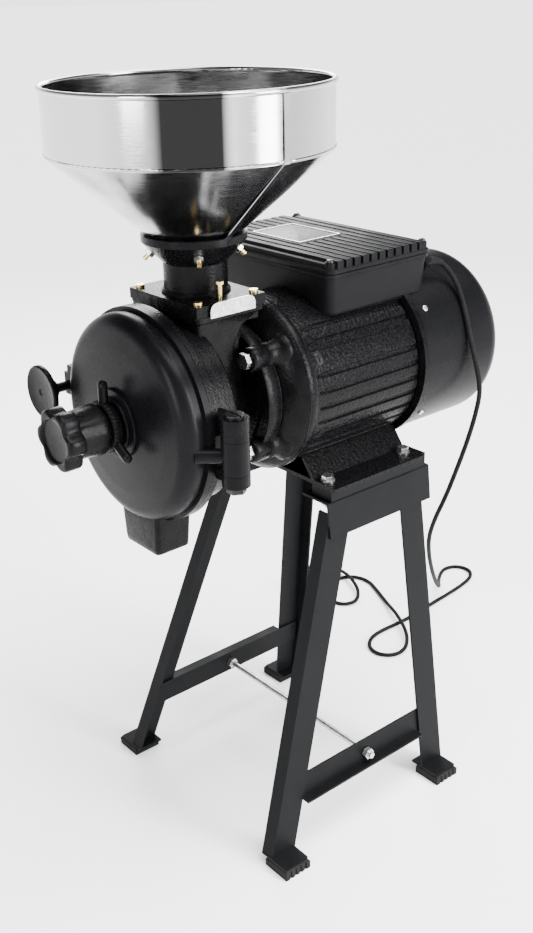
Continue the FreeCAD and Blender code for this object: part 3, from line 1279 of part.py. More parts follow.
def make_feed_screw():
    """Feed screw that slides on the shaft; its nose takes the thrust ball."""
    bore = float(d.journal_radius + d.shaft_fit)
    core = float(d.worm_core)
    rear = float(d.throat_y) + 24
    front = float(d.carrier_y) + 0.05
    along = Vector(0, 1, 0)
    tube = plain_cylinder(core, rear - front, Vector(0, front, 0), along)
    pitch = float(d.worm_pitch)
    start = front + 3
    turns = int((rear - 6 - start) / pitch)
    helix = Part.makeHelix(pitch, pitch * turns, core)
    reach = float(d.worm_radius) - core
    blade = [Vector(core - 1.5, 0, 0), Vector(core + reach, 0, 1), Vector(core + reach, 0, 4),
             Vector(core - 1.5, 0, 5)]
    ridge = Part.Wire(helix.Edges).makePipeShell([wire_of(blade)], True, True)
    ridge.rotate(Vector(0, 0, 0), Vector(1, 0, 0), -90)
    ridge.translate(Vector(0, start, 0))
    worm = tube.fuse(ridge)
    worm = worm.cut(plain_cylinder(bore, rear - front + 20, Vector(0, front - 10, 0), along))
    worm.translate(Vector(0, 0, float(d.shaft_z)))
    keep("feed_screw", shaped("feed_screw", worm))
    nose = turned("thrust_nose", [
        (0, d.nose_tip_y), (d.worm_core - 3, d.nose_tip_y), (d.worm_core, d.nose_tip_y + 3),
        (d.worm_core + 6, d.nose_y - 0.05), (0, d.nose_y - 0.05)], (0, 0, d.shaft_z))
    keep("thrust_nose", nose)


def make_throat():
    """Cast throat: flange, neck and the coned seat that the hopper drops into."""
    wall = d.throat_wall
    bore = d.neck_radius - wall
    tube = turned("throat_turned", [
        (d.passage_half - 2, d.platform_z), (d.neck_radius + 3, d.platform_z),
        (d.neck_radius + 3, d.throat_z + 2), (d.neck_radius, d.throat_z + 5), (d.neck_radius, d.neck_z),
        (d.seat_radius, d.seat_z), (d.seat_radius, d.seat_z + d.seat_rim),
        (d.seat_radius - wall, d.seat_z + d.seat_rim), (d.seat_radius - wall, d.seat_z + wall * 0.6),
        (bore, d.neck_z + wall * 0.6), (bore, d.throat_z)], (0, d.throat_y, 0), upright=True)
    half = d.throat_depth / 2
    flange = block("throat_plate", (-d.throat_half, d.throat_y - half, d.platform_z),
                   (d.throat_half, d.throat_y + half, d.throat_z))
    feet = []
    for index, sign in enumerate((-1, 1)):
        low = d.throat_y - half if sign < 0 else d.throat_y + d.gate_half + 0.4
        high = d.throat_y - d.gate_half - 0.4 if sign < 0 else d.throat_y + half
        feet.append(block("throat_foot_%d" % index, (-d.throat_half + 3, low, d.platform_z - d.gate_slot),
                          (d.throat_half - 3, high, d.platform_z)))
    bore_tool = rod("throat_bore", d.passage_half - 2, d.throat_flange * 4,
                    (0, d.throat_y, d.platform_z - d.throat_flange * 2), ALONG_Z)
    screw_tools = []
    for index, (x, y) in enumerate(throat_screw_spots()):
        screw_tools.append(rod("throat_hole_%d" % index, d.brass_radius, d.throat_flange * 3,
                               (x, y, d.platform_z - d.throat_flange), ALONG_Z))
    solid = join("throat_joined", tube, flange, *feet)
    keep("feed_throat", carve("throat_cut", solid, bore_tool, *screw_tools))


def throat_screw_spots():
    half = d.throat_depth / 2
    spots = []
    for x in (-d.throat_half + 9, d.throat_half - 9):
        for y in (d.throat_y - half + 9, d.throat_y + half - 9):
            spots.append((x, y))
    return spots


def make_throat_screws():
    screws = []
    for index, (x, y) in enumerate(throat_screw_spots()):
        head = rod("throat_head_%d" % index, d.brass_head, 3.5, (x, y, d.throat_z + 0.05), ALONG_Z)
        shank = rod("throat_shank_%d" % index, d.brass_radius, d.throat_flange + d.gate_slot,
                    (x, y, d.platform_z - d.gate_slot + 0.05), ALONG_Z)
        screws.append(join("throat_screw_%d" % index, head, shank))
    keep("throat_screws", group("throat_screws", screws))
    stop_x = d.throat_half - 12
    stop_y = d.throat_y - 6
    head = rod("stop_head", d.brass_head - 0.5, 3, (stop_x, stop_y, d.throat_z + 17), ALONG_Z)
    shank = rod("stop_shank", d.brass_radius, 17, (stop_x, stop_y, d.throat_z + 0.05), ALONG_Z)
    keep("gate_stop_screw", join("stop_screw_joined", head, shank))


def make_gate():
    """Sliding plate under the throat with a turned-up lip to pull it by."""
    low = d.platform_z - d.gate_slot + (d.gate_slot - d.gate_thick) / 2
    out = d.throat_half + 1.6
    plate = block("gate_plate", (-d.passage_half - 6, d.throat_y - d.gate_half, low),
                  (out + 1.6, d.throat_y + d.gate_half, low + d.gate_thick))
    lip = block("gate_lip_block", (out, d.throat_y - d.gate_half, low),
                (out + 1.6, d.throat_y + d.gate_half, low + d.gate_lip))
    doc.recompute()
    shape = plate.Shape.fuse(lip.Shape).removeSplitter()
    corners = []
    for edge in shape.Edges:
        box = edge.BoundBox
        if box.YLength < 0.01 and box.ZLength < 0.01 and box.ZMin > float(low + d.gate_lip) - 0.1:
            corners.append(edge)
    keep("feed_gate", shaped("feed_gate", shape.makeFillet(9, corners)))


def make_hopper():
    """Spun hopper: rolled rim, upright band, cone and outlet spout."""
    gauge = d.hopper_gauge
    fit = d.seat_fit
    rim = d.hopper_radius
    seat_in = d.seat_radius - d.throat_wall - fit
    cone_foot = d.seat_z + d.throat_wall * 0.6 + fit + 2
    spout_top = d.neck_z + d.throat_wall * 0.6 + fit + 4
    spout_low = spout_top - d.hopper_spout
    spout = d.hopper_neck
    body = turned("hopper_turned", [
        (spout, spout_low), (spout + gauge, spout_low), (spout + gauge, spout_top),
        (seat_in, cone_foot), (seat_in, d.seat_z + d.seat_rim),
        (rim, d.band_z), (rim, d.rim_z), (rim - gauge, d.rim_z), (rim - gauge, d.band_z + gauge * 0.6),
        (seat_in - gauge, d.seat_z + d.seat_rim + gauge), (seat_in - gauge, cone_foot + gauge * 0.4),
        (spout, spout_top + gauge * 0.6)], (0, d.throat_y, 0), upright=True)
    beads = []
    for name, height, size in (("rim", d.rim_z, d.hopper_bead), ("band", d.band_z + 2, d.hopper_bead * 0.5)):
        bead = helper("Part::Torus", "bead_" + name)
        bead.Radius1 = float(rim)
        bead.Radius2 = float(size)
        bind(bead, "Radius1", rim - gauge / 2)
        bind(bead, "Radius2", size)
        beads.append(put(bead, (0, d.throat_y, height)))
    keep("hopper", join("hopper_joined", body, *beads))


def make_hopper_bolts():
    """Four screws and nuts through the hopper seat's cone."""
    nuts = []
    screws = []
    middle_r = float(d.neck_radius + d.seat_radius) / 2
    middle_z = float(d.neck_z + d.seat_z) / 2
    slope = math.atan2(float(d.seat_radius - d.neck_radius), float(d.seat_cone))
    wall = float(d.throat_wall)
    for step in range(4):
        angle = math.radians(-32 + 90 * step)
        out = Vector(math.cos(angle), math.sin(angle), 0)
        normal = out * math.cos(slope) - Vector(0, 0, math.sin(slope))
        spot = out * middle_r + Vector(0, float(d.throat_y), middle_z)
        nut = six_sided(5, 4.5, spot + normal * 0.4, normal)
        bore = Part.makeCylinder(float(d.brass_radius), 20, spot - normal * 5, normal)
        nuts.append(nut.cut(bore))
        screw = Part.makeCylinder(float(d.brass_radius), 12, spot + normal * 0.05, normal)
        screws.append(screw)
    keep("hopper_nuts", shaped("hopper_nuts", Part.makeCompound(nuts)))
    keep("hopper_screws", shaped("hopper_screws", Part.makeCompound(screws)))


# Power cord: points chosen by eye, in millimetres, from the gland's mouth to the plug.
CORD_ROUTE = [
    (61.0, 208.5, 697.0), (61.0, 230.0, 697.0), (74.0, 247.0, 688.0), (94.0, 246.0, 668.0),
    (109.0, 236.0, 640.0), (118.0, 233.0, 606.0), (123.0, 241.0, 570.0), (124.0, 249.0, 534.0),
    (119.0, 247.0, 496.0), (110.0, 244.0, 456.0), (97.0, 241.0, 412.0), (80.0, 243.0, 368.0),
    (58.0, 249.0, 326.0), (36.0, 263.0, 284.0), (14.0, 290.0, 240.0), (-10.0, 324.0, 196.0),
    (-38.0, 364.0, 152.0), (-70.0, 408.0, 110.0), (-106.0, 456.0, 70.0), (-142.0, 502.0, 36.0),
    (-176.0, 540.0, 14.0), (-204.0, 574.0, 4.0), (-218.0, 602.0, 3.4), (-208.0, 628.0, 3.4),
    (-182.0, 634.0, 3.4), (-163.0, 614.0, 3.4), (-155.0, 580.0, 3.4), (-150.0, 536.0, 3.4),
    (-147.0, 492.0, 3.4), (-142.0, 448.0, 3.4), (-140.0, 405.0, 3.4), (-143.0, 365.0, 3.4),
    (-140.0, 332.0, 3.4), (-122.0, 308.0, 3.4), (-96.0, 303.0, 3.4), (-76.0, 320.0, 3.4),
    (-76.0, 348.0, 4.0), (-94.0, 372.0, 9.0), (-124.0, 392.0, 12.0), (-160.0, 411.0, 11.5),
    (-202.0, 432.0, 5.0), (-244.0, 452.0, 3.4), (-280.0, 466.0, 3.4), (-310.0, 456.0, 3.4),
    (-322.0, 430.0, 3.4), (-312.0, 404.0, 3.4), (-294.0, 380.0, 3.4), (-270.0, 364.0, 3.4),
    (-246.0, 372.0, 3.4), (-238.0, 396.0, 5.0), (-256.0, 418.0, 10.0), (-286.0, 434.0, 12.0),
    (-320.0, 446.0, 10.5), (-352.0, 452.0, 4.0), (-384.0, 438.0, 3.4), (-392.0, 408.0, 3.4),
    (-378.0, 380.0, 3.4), (-354.0, 358.0, 3.4),
]


def rounded_path(points):
    """Straight runs joined by tangent arcs, each as large as its runs allow."""
    spots = [Vector(*point) for point in points]
    edges = []
    radii = []
    here = spots[0]
    for index in range(1, len(spots) - 1):
        corner = spots[index]
        back = spots[index - 1] - corner
        ahead = spots[index + 1] - corner
        turn = math.pi - back.getAngle(ahead)
        trim = 0.45 * min(back.Length, ahead.Length)
        radius = trim / math.tan(turn / 2)
        radii.append(radius)
        into = Vector(back).normalize()
        onward = Vector(ahead).normalize()
        first = corner + into * trim
        last = corner + onward * trim
        bisector = (into + onward).normalize()
        centre = corner + bisector * (radius / math.cos(turn / 2))
        middle = centre - bisector * radius
        edges.append(Part.LineSegment(here, first).toShape())
        edges.append(Part.Arc(first, middle, last).toShape())
        here = last
    edges.append(Part.LineSegment(here, spots[-1]).toShape())
    return Part.Wire(edges), radii


def make_cord():
    start = gland_spot(d.frame_y + d.box_setback + d.box_length + d.gland_length)
    mouth = Vector(*[float(value) for value in start])
    shift = mouth - Vector(*CORD_ROUTE[0])
    route = [tuple(Vector(*CORD_ROUTE[0]) + shift)]
    route += CORD_ROUTE[1:]
    path, radii = rounded_path(route)
    section = Part.Wire(Part.Circle(mouth, Vector(0, 1, 0), float(d.cord_radius)).toShape())
    tube = path.makePipeShell([section], True, False)
    keep("power_cord", shaped("power_cord", tube))
    print("cord length %.0f, least radius %.1f, volume over section times length %.4f" % (
        path.Length, min(radii), tube.Volume / (math.pi * float(d.cord_radius) ** 2 * path.Length)))
    print("cord radii", " ".join("%.0f" % radius for radius in radii))
    end = Vector(*route[-1])
    heading = (end - Vector(*route[-2])).normalize()
    make_plug(end, heading)


def make_plug(spot, heading):
    """Two-pin plug lying on the floor at the end of the cord."""
    half = float(d.plug_radius)
    length = float(d.plug_length)
    cord = float(d.cord_radius)
    flat = Vector(heading.x, heading.y, 0).normalize()
    under = 0.3 - spot.z
    sleeve = plain_cylinder(cord + 1.2, length * 0.5, Vector(0, 0, 0), Vector(1, 0, 0))
    head = Part.makeBox(length * 0.6, half * 2, half * 1.5, Vector(length * 0.4, -half, under))
    head = head.makeFillet(3, head.Edges)
    middle = under + half * 0.75
    pins = [plain_cylinder(2.4, 19, Vector(length - 1, y, middle), Vector(1, 0, 0)) for y in (-9.5, 9.5)]
    plug = sleeve.fuse([head] + pins)
    floor = Part.makeBox(length * 4, half * 4, 20, Vector(-length, -half * 2, under - 20))
    plug = plug.cut(floor).removeSplitter()
    plug.Placement = Placement(spot + flat * 0.05, Rotation(Vector(1, 0, 0), flat))
    keep("power_plug", shaped("power_plug", plug))


make_stand()
make_motor_base()
make_motor_bolts()
make_housing()
make_shields()
make_mill_bolts()
make_fan_cover()
make_motor_inside()
make_terminal_box()
make_mill_body()
make_hinge_pin()
make_cover()
make_lock_ring()
make_adjuster()
make_clamp()
make_burrs()
make_feed_screw()
make_throat()
make_throat_screws()
make_gate()
make_hopper()
make_hopper_bolts()
make_cord()

doc.recompute()

failed = [item.Label for item in doc.Objects if "Invalid" in item.State or "Error" in item.State]
if failed:
    raise RuntimeError("failed: " + ", ".join(failed))
for name, part in parts.items():
    if part.Shape.isNull() or not part.Shape.isValid():
        raise RuntimeError("%s has no sound shape" % name)

os.makedirs("parts", exist_ok=True)
for name, part in parts.items():
    part.Shape.exportStep(os.path.join("parts", name + ".step"))
whole = Part.makeCompound([part.Shape for name, part in parts.items() if name not in ("power_cord", "power_plug")])
print(len(parts), "sub-parts;", "X %.1f..%.1f Y %.1f..%.1f Z %.1f..%.1f" % (
    whole.BoundBox.XMin, whole.BoundBox.XMax, whole.BoundBox.YMin, whole.BoundBox.YMax,
    whole.BoundBox.ZMin, whole.BoundBox.ZMax))
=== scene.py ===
import math

import bmesh
import bpy
from mathutils import Matrix, Vector


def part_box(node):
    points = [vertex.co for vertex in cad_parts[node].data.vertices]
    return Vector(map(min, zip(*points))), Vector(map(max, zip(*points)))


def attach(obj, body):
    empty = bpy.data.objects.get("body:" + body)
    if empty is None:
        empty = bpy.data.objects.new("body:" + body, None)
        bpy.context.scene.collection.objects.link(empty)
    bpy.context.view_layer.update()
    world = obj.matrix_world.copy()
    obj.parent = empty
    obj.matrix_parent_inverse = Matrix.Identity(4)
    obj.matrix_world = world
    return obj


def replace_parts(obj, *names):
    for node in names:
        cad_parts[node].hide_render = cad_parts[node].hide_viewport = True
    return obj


# An electric grain mill on a splayed stand. The knob points to -Y, the motor's fan to +Y.
# Shapes are written in millimetres and made in metres. Shaders, lamps and the camera are in metres.

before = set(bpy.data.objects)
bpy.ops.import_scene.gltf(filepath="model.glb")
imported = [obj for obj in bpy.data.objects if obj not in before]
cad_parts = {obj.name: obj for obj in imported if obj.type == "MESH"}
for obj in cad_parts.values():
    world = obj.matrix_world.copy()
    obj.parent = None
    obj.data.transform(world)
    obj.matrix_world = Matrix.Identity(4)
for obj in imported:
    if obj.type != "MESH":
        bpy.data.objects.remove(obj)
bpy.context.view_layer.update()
scene = bpy.context.scene

MM_PER_M = 1000

# The motor's shaft lies along Y at this x and z. The hopper's axis stands upright at x 0 and this y.
SHAFT = (0, 580)
HOPPER_Y = -106.2


# The camera.

def add_camera():
    """The photograph's eye. The picture's size, its focal length and its centre are in pixels."""
    tall, wide = 933, 533
    focal, centre_x, centre_y = 1136.4, 235.5, 469.4
    place = (1.0025, -0.8510, 1.0376)
    yaw, pitch, roll = math.radians(51.65), math.radians(23.80), math.radians(-1.74)
    ahead = Vector((-math.sin(yaw) * math.cos(pitch), math.cos(yaw) * math.cos(pitch), -math.sin(pitch)))
    right = Vector((math.cos(yaw), math.sin(yaw), 0))
    up = right.cross(ahead)
    side = right * math.cos(roll) + up * math.sin(roll)
    top = up * math.cos(roll) - right * math.sin(roll)
    data = bpy.data.cameras.new("camera")
    data.sensor_width = 36
    data.lens = focal / tall * data.sensor_width
    data.shift_x = (wide / 2 - centre_x) / tall
    data.shift_y = (centre_y - tall / 2) / tall
    data.clip_start, data.clip_end = 0.05, 40
    camera = bpy.data.objects.new("camera", data)
    turn = Matrix((side, top, -ahead)).transposed().to_4x4()
    camera.matrix_world = Matrix.Translation(place) @ turn
    scene.collection.objects.link(camera)
    scene.camera = camera


add_camera()


# Materials.

class Paint:
    """A material under construction: a Principled shader with bump, colour and roughness nodes."""

    def __init__(self, name, colour, roughness, metallic=0.0):
        self.material = bpy.data.materials.new(name)
        self.material.use_nodes = True
        self.tree = self.material.node_tree
        self.shader = self.tree.nodes["Principled BSDF"]
        self.shader.inputs["Base Color"].default_value = (*colour, 1)
        self.shader.inputs["Roughness"].default_value = roughness
        self.shader.inputs["Metallic"].default_value = metallic
        # Paints and rubbers mirror less than real ones, so that they stay black in front of a pale floor.
        mirror = 0.5 if metallic else 0.05
        self.shader.inputs["Specular IOR Level"].default_value = mirror
        self.coords = self.tree.nodes.new("ShaderNodeTexCoord")
        self.normal = None

    def link(self, source, target):
        self.tree.links.new(source, target)

    def place(self, scale=(1, 1, 1)):
        """The object's own coordinates, stretched."""
        mapping = self.tree.nodes.new("ShaderNodeMapping")
        mapping.inputs["Scale"].default_value = scale
        self.link(self.coords.outputs["Object"], mapping.inputs["Vector"])
        return mapping.outputs["Vector"]

    def noise(self, scale, detail, stretch=(1, 1, 1)):
        node = self.tree.nodes.new("ShaderNodeTexNoise")
        node.inputs["Scale"].default_value = scale
        node.inputs["Detail"].default_value = detail
        self.link(self.place(stretch), node.inputs["Vector"])
        return node.outputs["Fac"]

    def cells(self, scale):
        """Rounded cells of uneven size."""
        node = self.tree.nodes.new("ShaderNodeTexVoronoi")
        node.feature = "SMOOTH_F1"
        node.inputs["Scale"].default_value = scale
        self.link(self.place(), node.inputs["Vector"])
        return node.outputs["Distance"]

    def ramp(self, value, stops):
        """stops: (place, colour) with colour as three numbers."""
        node = self.tree.nodes.new("ShaderNodeValToRGB")
        while len(node.color_ramp.elements) < len(stops):
            node.color_ramp.elements.new(0.5)
        for element, (place, colour) in zip(node.color_ramp.elements, stops):
            element.position = place
            element.color = (*colour, 1)
        self.link(value, node.inputs["Fac"])
        return node.outputs["Color"]

    def between(self, value, low, high, from_low=0.3, from_high=0.7):
        """A value that goes from low to high while its source goes from from_low to from_high."""
        node = self.tree.nodes.new("ShaderNodeMapRange")
        node.inputs["From Min"].default_value = from_low
        node.inputs["From Max"].default_value = from_high
        node.inputs["To Min"].default_value = low
        node.inputs["To Max"].default_value = high
        self.link(value, node.inputs["Value"])
        return node.outputs["Result"]

    def bump(self, height, strength, distance):
        node = self.tree.nodes.new("ShaderNodeBump")
        node.inputs["Strength"].default_value = strength
        node.inputs["Distance"].default_value = distance
        self.link(height, node.inputs["Height"])
        if self.normal:
            self.link(self.normal, node.inputs["Normal"])
        self.normal = node.outputs["Normal"]
        self.link(self.normal, self.shader.inputs["Normal"])

    def colour(self, source):
        self.link(source, self.shader.inputs["Base Color"])

    def roughness(self, source):
        self.link(source, self.shader.inputs["Roughness"])


def cast_paint():
    """Glossy black paint over sand-cast iron."""
    paint = Paint("cast_paint", (0.0023, 0.0023, 0.0025), 0.3)
    lumps = paint.noise(70, 3)
    grains = paint.noise(420, 2)
    paint.bump(lumps, 0.35, 0.0018)
    paint.bump(grains, 0.55, 0.0006)
    paint.colour(paint.ramp(lumps, [(0.3, (0.0015, 0.0015, 0.0017)), (0.7, (0.0034, 0.0034, 0.0038))]))
    paint.roughness(paint.between(grains, 0.20, 0.36))
    return paint.material


def wrinkle_paint():
    """Hammer-finish black enamel on the motor's housing."""
    paint = Paint("wrinkle_paint", (0.0023, 0.0023, 0.0025), 0.28)
    pits = paint.cells(260)
    lumps = paint.noise(380, 2)
    paint.bump(pits, 0.50, 0.0010)
    paint.bump(lumps, 0.40, 0.0007)
    paint.colour(paint.ramp(lumps, [(0.3, (0.0015, 0.0015, 0.0017)), (0.7, (0.0042, 0.0042, 0.0046))]))
    paint.roughness(paint.between(lumps, 0.20, 0.38))
    return paint.material


def smooth_paint():
    """Smooth satin black paint on pressed sheet."""
    paint = Paint("smooth_paint", (0.0038, 0.0038, 0.0042), 0.3)
    waves = paint.noise(16, 2)
    peel = paint.noise(420, 2)
    paint.bump(waves, 0.12, 0.0014)
    paint.bump(peel, 0.10, 0.0002)
    paint.colour(paint.ramp(waves, [(0.3, (0.0019, 0.0019, 0.0023)), (0.7, (0.0038, 0.0038, 0.0044))]))
    paint.roughness(paint.between(peel, 0.26, 0.36))
    return paint.material


def box_plastic():
    """Terminal box: fine-grained moulded plastic."""
    paint = Paint("box_plastic", (0.0046, 0.0046, 0.0049), 0.38)
    grain = paint.noise(900, 2)
    cloud = paint.noise(30, 3)
    paint.bump(grain, 0.25, 0.0003)
    paint.colour(paint.ramp(cloud, [(0.3, (0.0023, 0.0023, 0.0027)), (0.7, (0.0038, 0.0038, 0.0042))]))
    paint.roughness(paint.between(cloud, 0.36, 0.50))
    return paint.material


def stand_paint():
    """Dark grey powder coat on folded sheet."""
    paint = Paint("stand_paint", (0.0034, 0.0036, 0.0042), 0.5)
    grain = paint.noise(700, 3)
    cloud = paint.noise(18, 3)
    paint.bump(grain, 0.3, 0.0004)
    paint.colour(paint.ramp(cloud, [(0.3, (0.0027, 0.0029, 0.0032)), (0.7, (0.0046, 0.0048, 0.0053))]))
    paint.roughness(paint.between(cloud, 0.40, 0.56))
    return paint.material


def knob_plastic():
    """Painted knobs and fan plastic, a little uneven."""
    paint = Paint("knob_plastic", (0.0023, 0.0023, 0.0025), 0.3)
    grain = paint.noise(260, 3)
    smear = paint.noise(45, 2)
    paint.bump(grain, 0.45, 0.0006)
    paint.roughness(paint.between(smear, 0.20, 0.36))
    paint.colour(paint.ramp(smear, [(0.3, (0.0019, 0.0019, 0.0021)), (0.7, (0.0038, 0.0038, 0.0042))]))
    return paint.material


def rubber(name, shade):
    """Dull rubber with a little dust."""
    paint = Paint(name, (shade, shade, shade), 0.65)
    grain = paint.noise(500, 3)
    dust = paint.noise(60, 4)
    paint.bump(grain, 0.25, 0.0004)
    paint.colour(paint.ramp(dust, [(0.35, (shade * 0.8,) * 3), (0.75, (shade * 1.7,) * 3)]))
    paint.roughness(paint.between(dust, 0.55, 0.78))
    return paint.material


# Painted reflections: bright and dull bands round the hopper's wall, painted into its colour in place of
# reflections, as (share of a turn, shade).
PAINTED_REFLECTION_BANDS = [
    (0.00, 0.45), (0.08, 0.16), (0.16, 0.60), (0.30, 0.60), (0.36, 0.25), (0.37, 0.018), (0.43, 0.018),
    (0.44, 0.62), (0.47, 0.22), (0.58, 0.55), (0.65, 0.14), (0.72, 0.60), (0.86, 0.10), (1.00, 0.45),
]

# The heights in metres between which the look of the cone turns into that of the wall.
CONE_END, WALL_START = 0.8615, 0.8630

# A Mix node has its colour sockets at these places. Their names are shared with its number sockets.
MIX_SHARE, MIX_FIRST, MIX_SECOND, MIX_RESULT = 0, 6, 7, 2


def sheet_steel():
    """Polished stainless: painted reflections as bright and dull upright bands down the wall, fine scratches
    round it, and a cone painted darker as a painted dull reflection.
    """
    paint = Paint("sheet_steel", (0.58, 0.58, 0.575), 0.16, metallic=1.0)
    lines = paint.noise(60, 3, stretch=(1, 1, 22))
    streaks = paint.noise(22, 2, stretch=(1, 1, 0.06))
    paint.bump(lines, 0.05, 0.0002)
    round_axis = paint.tree.nodes.new("ShaderNodeMapping")
    round_axis.inputs["Location"].default_value = (0, -HOPPER_Y / MM_PER_M, 0)
    paint.link(paint.coords.outputs["Object"], round_axis.inputs["Vector"])
    fan = paint.tree.nodes.new("ShaderNodeTexGradient")
    fan.gradient_type = "RADIAL"
    paint.link(round_axis.outputs["Vector"], fan.inputs["Vector"])
    # Painted reflections: the wall's colour turns bright and dull by angle round the hopper's axis.
    wall = paint.ramp(fan.outputs["Fac"], [(place, (shade, shade, shade * 0.99)) for place, shade in PAINTED_REFLECTION_BANDS])
    # Painted shade: the cone's colour is darker than the wall's, a painted dull reflection.
    cone = paint.ramp(streaks, [(0.35, (0.22, 0.22, 0.225)), (0.65, (0.44, 0.44, 0.447))])
    split = paint.tree.nodes.new("ShaderNodeSeparateXYZ")
    paint.link(paint.coords.outputs["Object"], split.inputs["Vector"])
    mix = paint.tree.nodes.new("ShaderNodeMix")
    mix.data_type = "RGBA"
    paint.link(paint.between(split.outputs["Z"], 0, 1, CONE_END, WALL_START), mix.inputs[MIX_SHARE])
    paint.link(cone, mix.inputs[MIX_FIRST])
    paint.link(wall, mix.inputs[MIX_SECOND])
    paint.colour(mix.outputs[MIX_RESULT])
    paint.roughness(paint.between(lines, 0.10, 0.22))
    return paint.material


def metal(name, dark, light, low, high):
    """Plain metal with scratches and a little tarnish."""
    paint = Paint(name, light, low, metallic=1.0)
    scratch = paint.noise(400, 3)
    tarnish = paint.noise(70, 3)
    paint.bump(scratch, 0.12, 0.0002)
    paint.colour(paint.ramp(tarnish, [(0.3, dark), (0.7, light)]))
    paint.roughness(paint.between(scratch, low, high))
    return paint.material


cast = cast_paint()
wrinkle = wrinkle_paint()
smooth = smooth_paint()
plastic = box_plastic()
stand = stand_paint()
knob = knob_plastic()
feet_rubber = rubber("feet_rubber", 0.008)
cord_rubber = rubber("cord_rubber", 0.005)
steel_sheet = sheet_steel()
zinc = metal("zinc", (0.36, 0.36, 0.35), (0.60, 0.60, 0.59), 0.22, 0.42)
brass = metal("brass", (0.50, 0.34, 0.12), (0.80, 0.62, 0.28), 0.18, 0.34)
bright = metal("bright", (0.40, 0.40, 0.41), (0.62, 0.62, 0.63), 0.14, 0.32)
black_steel = metal("black_steel", (0.014, 0.014, 0.015), (0.040, 0.040, 0.042), 0.25, 0.45)
iron = metal("iron", (0.10, 0.10, 0.10), (0.24, 0.24, 0.24), 0.40, 0.62)
copper = metal("copper", (0.42, 0.16, 0.07), (0.70, 0.34, 0.18), 0.28, 0.45)
plate = metal("plate", (0.020, 0.020, 0.020), (0.034, 0.034, 0.034), 0.38, 0.52)

FINISH = {
    "mill_body": cast, "feed_throat": cast, "front_end_shield": cast, "rear_end_shield": cast,
    "motor_housing": wrinkle, "motor_base": wrinkle, "fan_cover": smooth, "front_cover": smooth,
    "terminal_box": plastic, "terminal_box_lid": plastic, "bare_plate": plate,
    "star_knob": knob, "lock_ring": black_steel, "clamp_screw": black_steel, "adjusting_screw": black_steel,
    "hinge_pin": black_steel, "hopper": steel_sheet, "rubber_feet": feet_rubber,
    "power_cord": cord_rubber, "power_plug": cord_rubber, "cable_gland": knob,
    "mill_bolts": zinc, "motor_bolts": zinc, "motor_nuts": zinc, "tie_rod": zinc, "tie_rod_nuts": zinc,
    "fan_cover_screws": zinc, "hopper_nuts": zinc, "throat_screws": brass, "hopper_screws": brass,
    "gate_stop_screw": brass, "lid_screws": black_steel, "feed_gate": bright, "motor_shaft": bright,
    "front_bearing": bright, "rear_bearing": bright, "thrust_ball": bright, "thrust_nose": bright,
    "fixed_burr": iron, "moving_burr": iron, "burr_carrier": iron, "feed_screw": iron,
    "stator_core": iron, "rotor_core": iron, "stator_windings": copper,
    "cooling_fan": knob, "terminal_block": knob, "capacitors": plastic,
}


def dress_nodes():
    """The CAD's pieces take their finish by name. Those without one are the stand's and get its paint."""
    for name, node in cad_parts.items():
        finish = FINISH.get(name, stand)
        node.data.materials.clear()
        node.data.materials.append(finish)


dress_nodes()


# Pieces.

def new_object(name, data, body, finish):
    """A piece that rides on a body of the frame."""
    piece = bpy.data.objects.new(name, data)
    scene.collection.objects.link(piece)
    data.materials.append(finish)
    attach(piece, body)
    return piece


def loft(name, loops, body, finish, ring=False, sharp=32):
    """A skin through loops of as many points each. Its ends are closed, or joined to make a ring."""
    shape = bmesh.new()
    rows = [[shape.verts.new([value / MM_PER_M for value in spot]) for spot in loop] for loop in loops]
    pairs = list(zip(rows, rows[1:]))
    if ring:
        pairs.append((rows[-1], rows[0]))
    for lower, upper in pairs:
        for here in range(len(lower)):
            after = (here + 1) % len(lower)
            shape.faces.new((lower[here], lower[after], upper[after], upper[here]))
    if not ring:
        shape.faces.new(rows[0])
        shape.faces.new(rows[-1])
    bmesh.ops.recalc_face_normals(shape, faces=shape.faces)
    mesh = bpy.data.meshes.new(name)
    shape.to_mesh(mesh)
    shape.free()
    mesh.shade_smooth()
    mesh.set_sharp_from_angle(angle=math.radians(sharp))
    return new_object(name, mesh, body, finish)


def circle(axis, centre, along, radius, steps=96):
    """A loop about an axis along Y or Z. The radius is a number or a function of the angle."""
    spots = []
    for step in range(steps):
        turn = 2 * math.pi * step / steps
        reach = radius(turn) if callable(radius) else radius
        across, rise = reach * math.cos(turn), reach * math.sin(turn)
        if axis == "y":
            spots.append((centre[0] + across, along, centre[1] + rise))
        else:
            spots.append((centre[0] + across, centre[1] + rise, along))
    return spots


def lathe(name, axis, centre, profile, body, finish, steps=96, ring=False, sharp=32):
    """Turns a profile of (radius, place along the axis)."""
    loops = [circle(axis, centre, along, radius, steps) for radius, along in profile]
    return loft(name, loops, body, finish, ring, sharp)


def slab(x_low, x_high, y_low, y_high, height, corner, steps=6):
    """A level rectangle with round corners."""
    spots = []
    corners = ((x_high, y_high, 0), (x_low, y_high, 90), (x_low, y_low, 180), (x_high, y_low, 270))
    for x, y, start in corners:
        middle_x = x - corner if x == x_high else x + corner
        middle_y = y - corner if y == y_high else y + corner
        for step in range(steps + 1):
            turn = math.radians(start + 90 * step / steps)
            spots.append((middle_x + corner * math.cos(turn), middle_y + corner * math.sin(turn), height))
    return spots


def stack(name, rows, finish, ring=False):
    """A skin through level rectangles, given as (x_low, x_high, y_low, y_high, height, corner)."""
    return loft(name, [slab(*row) for row in rows], "base", finish, ring=ring, sharp=40)


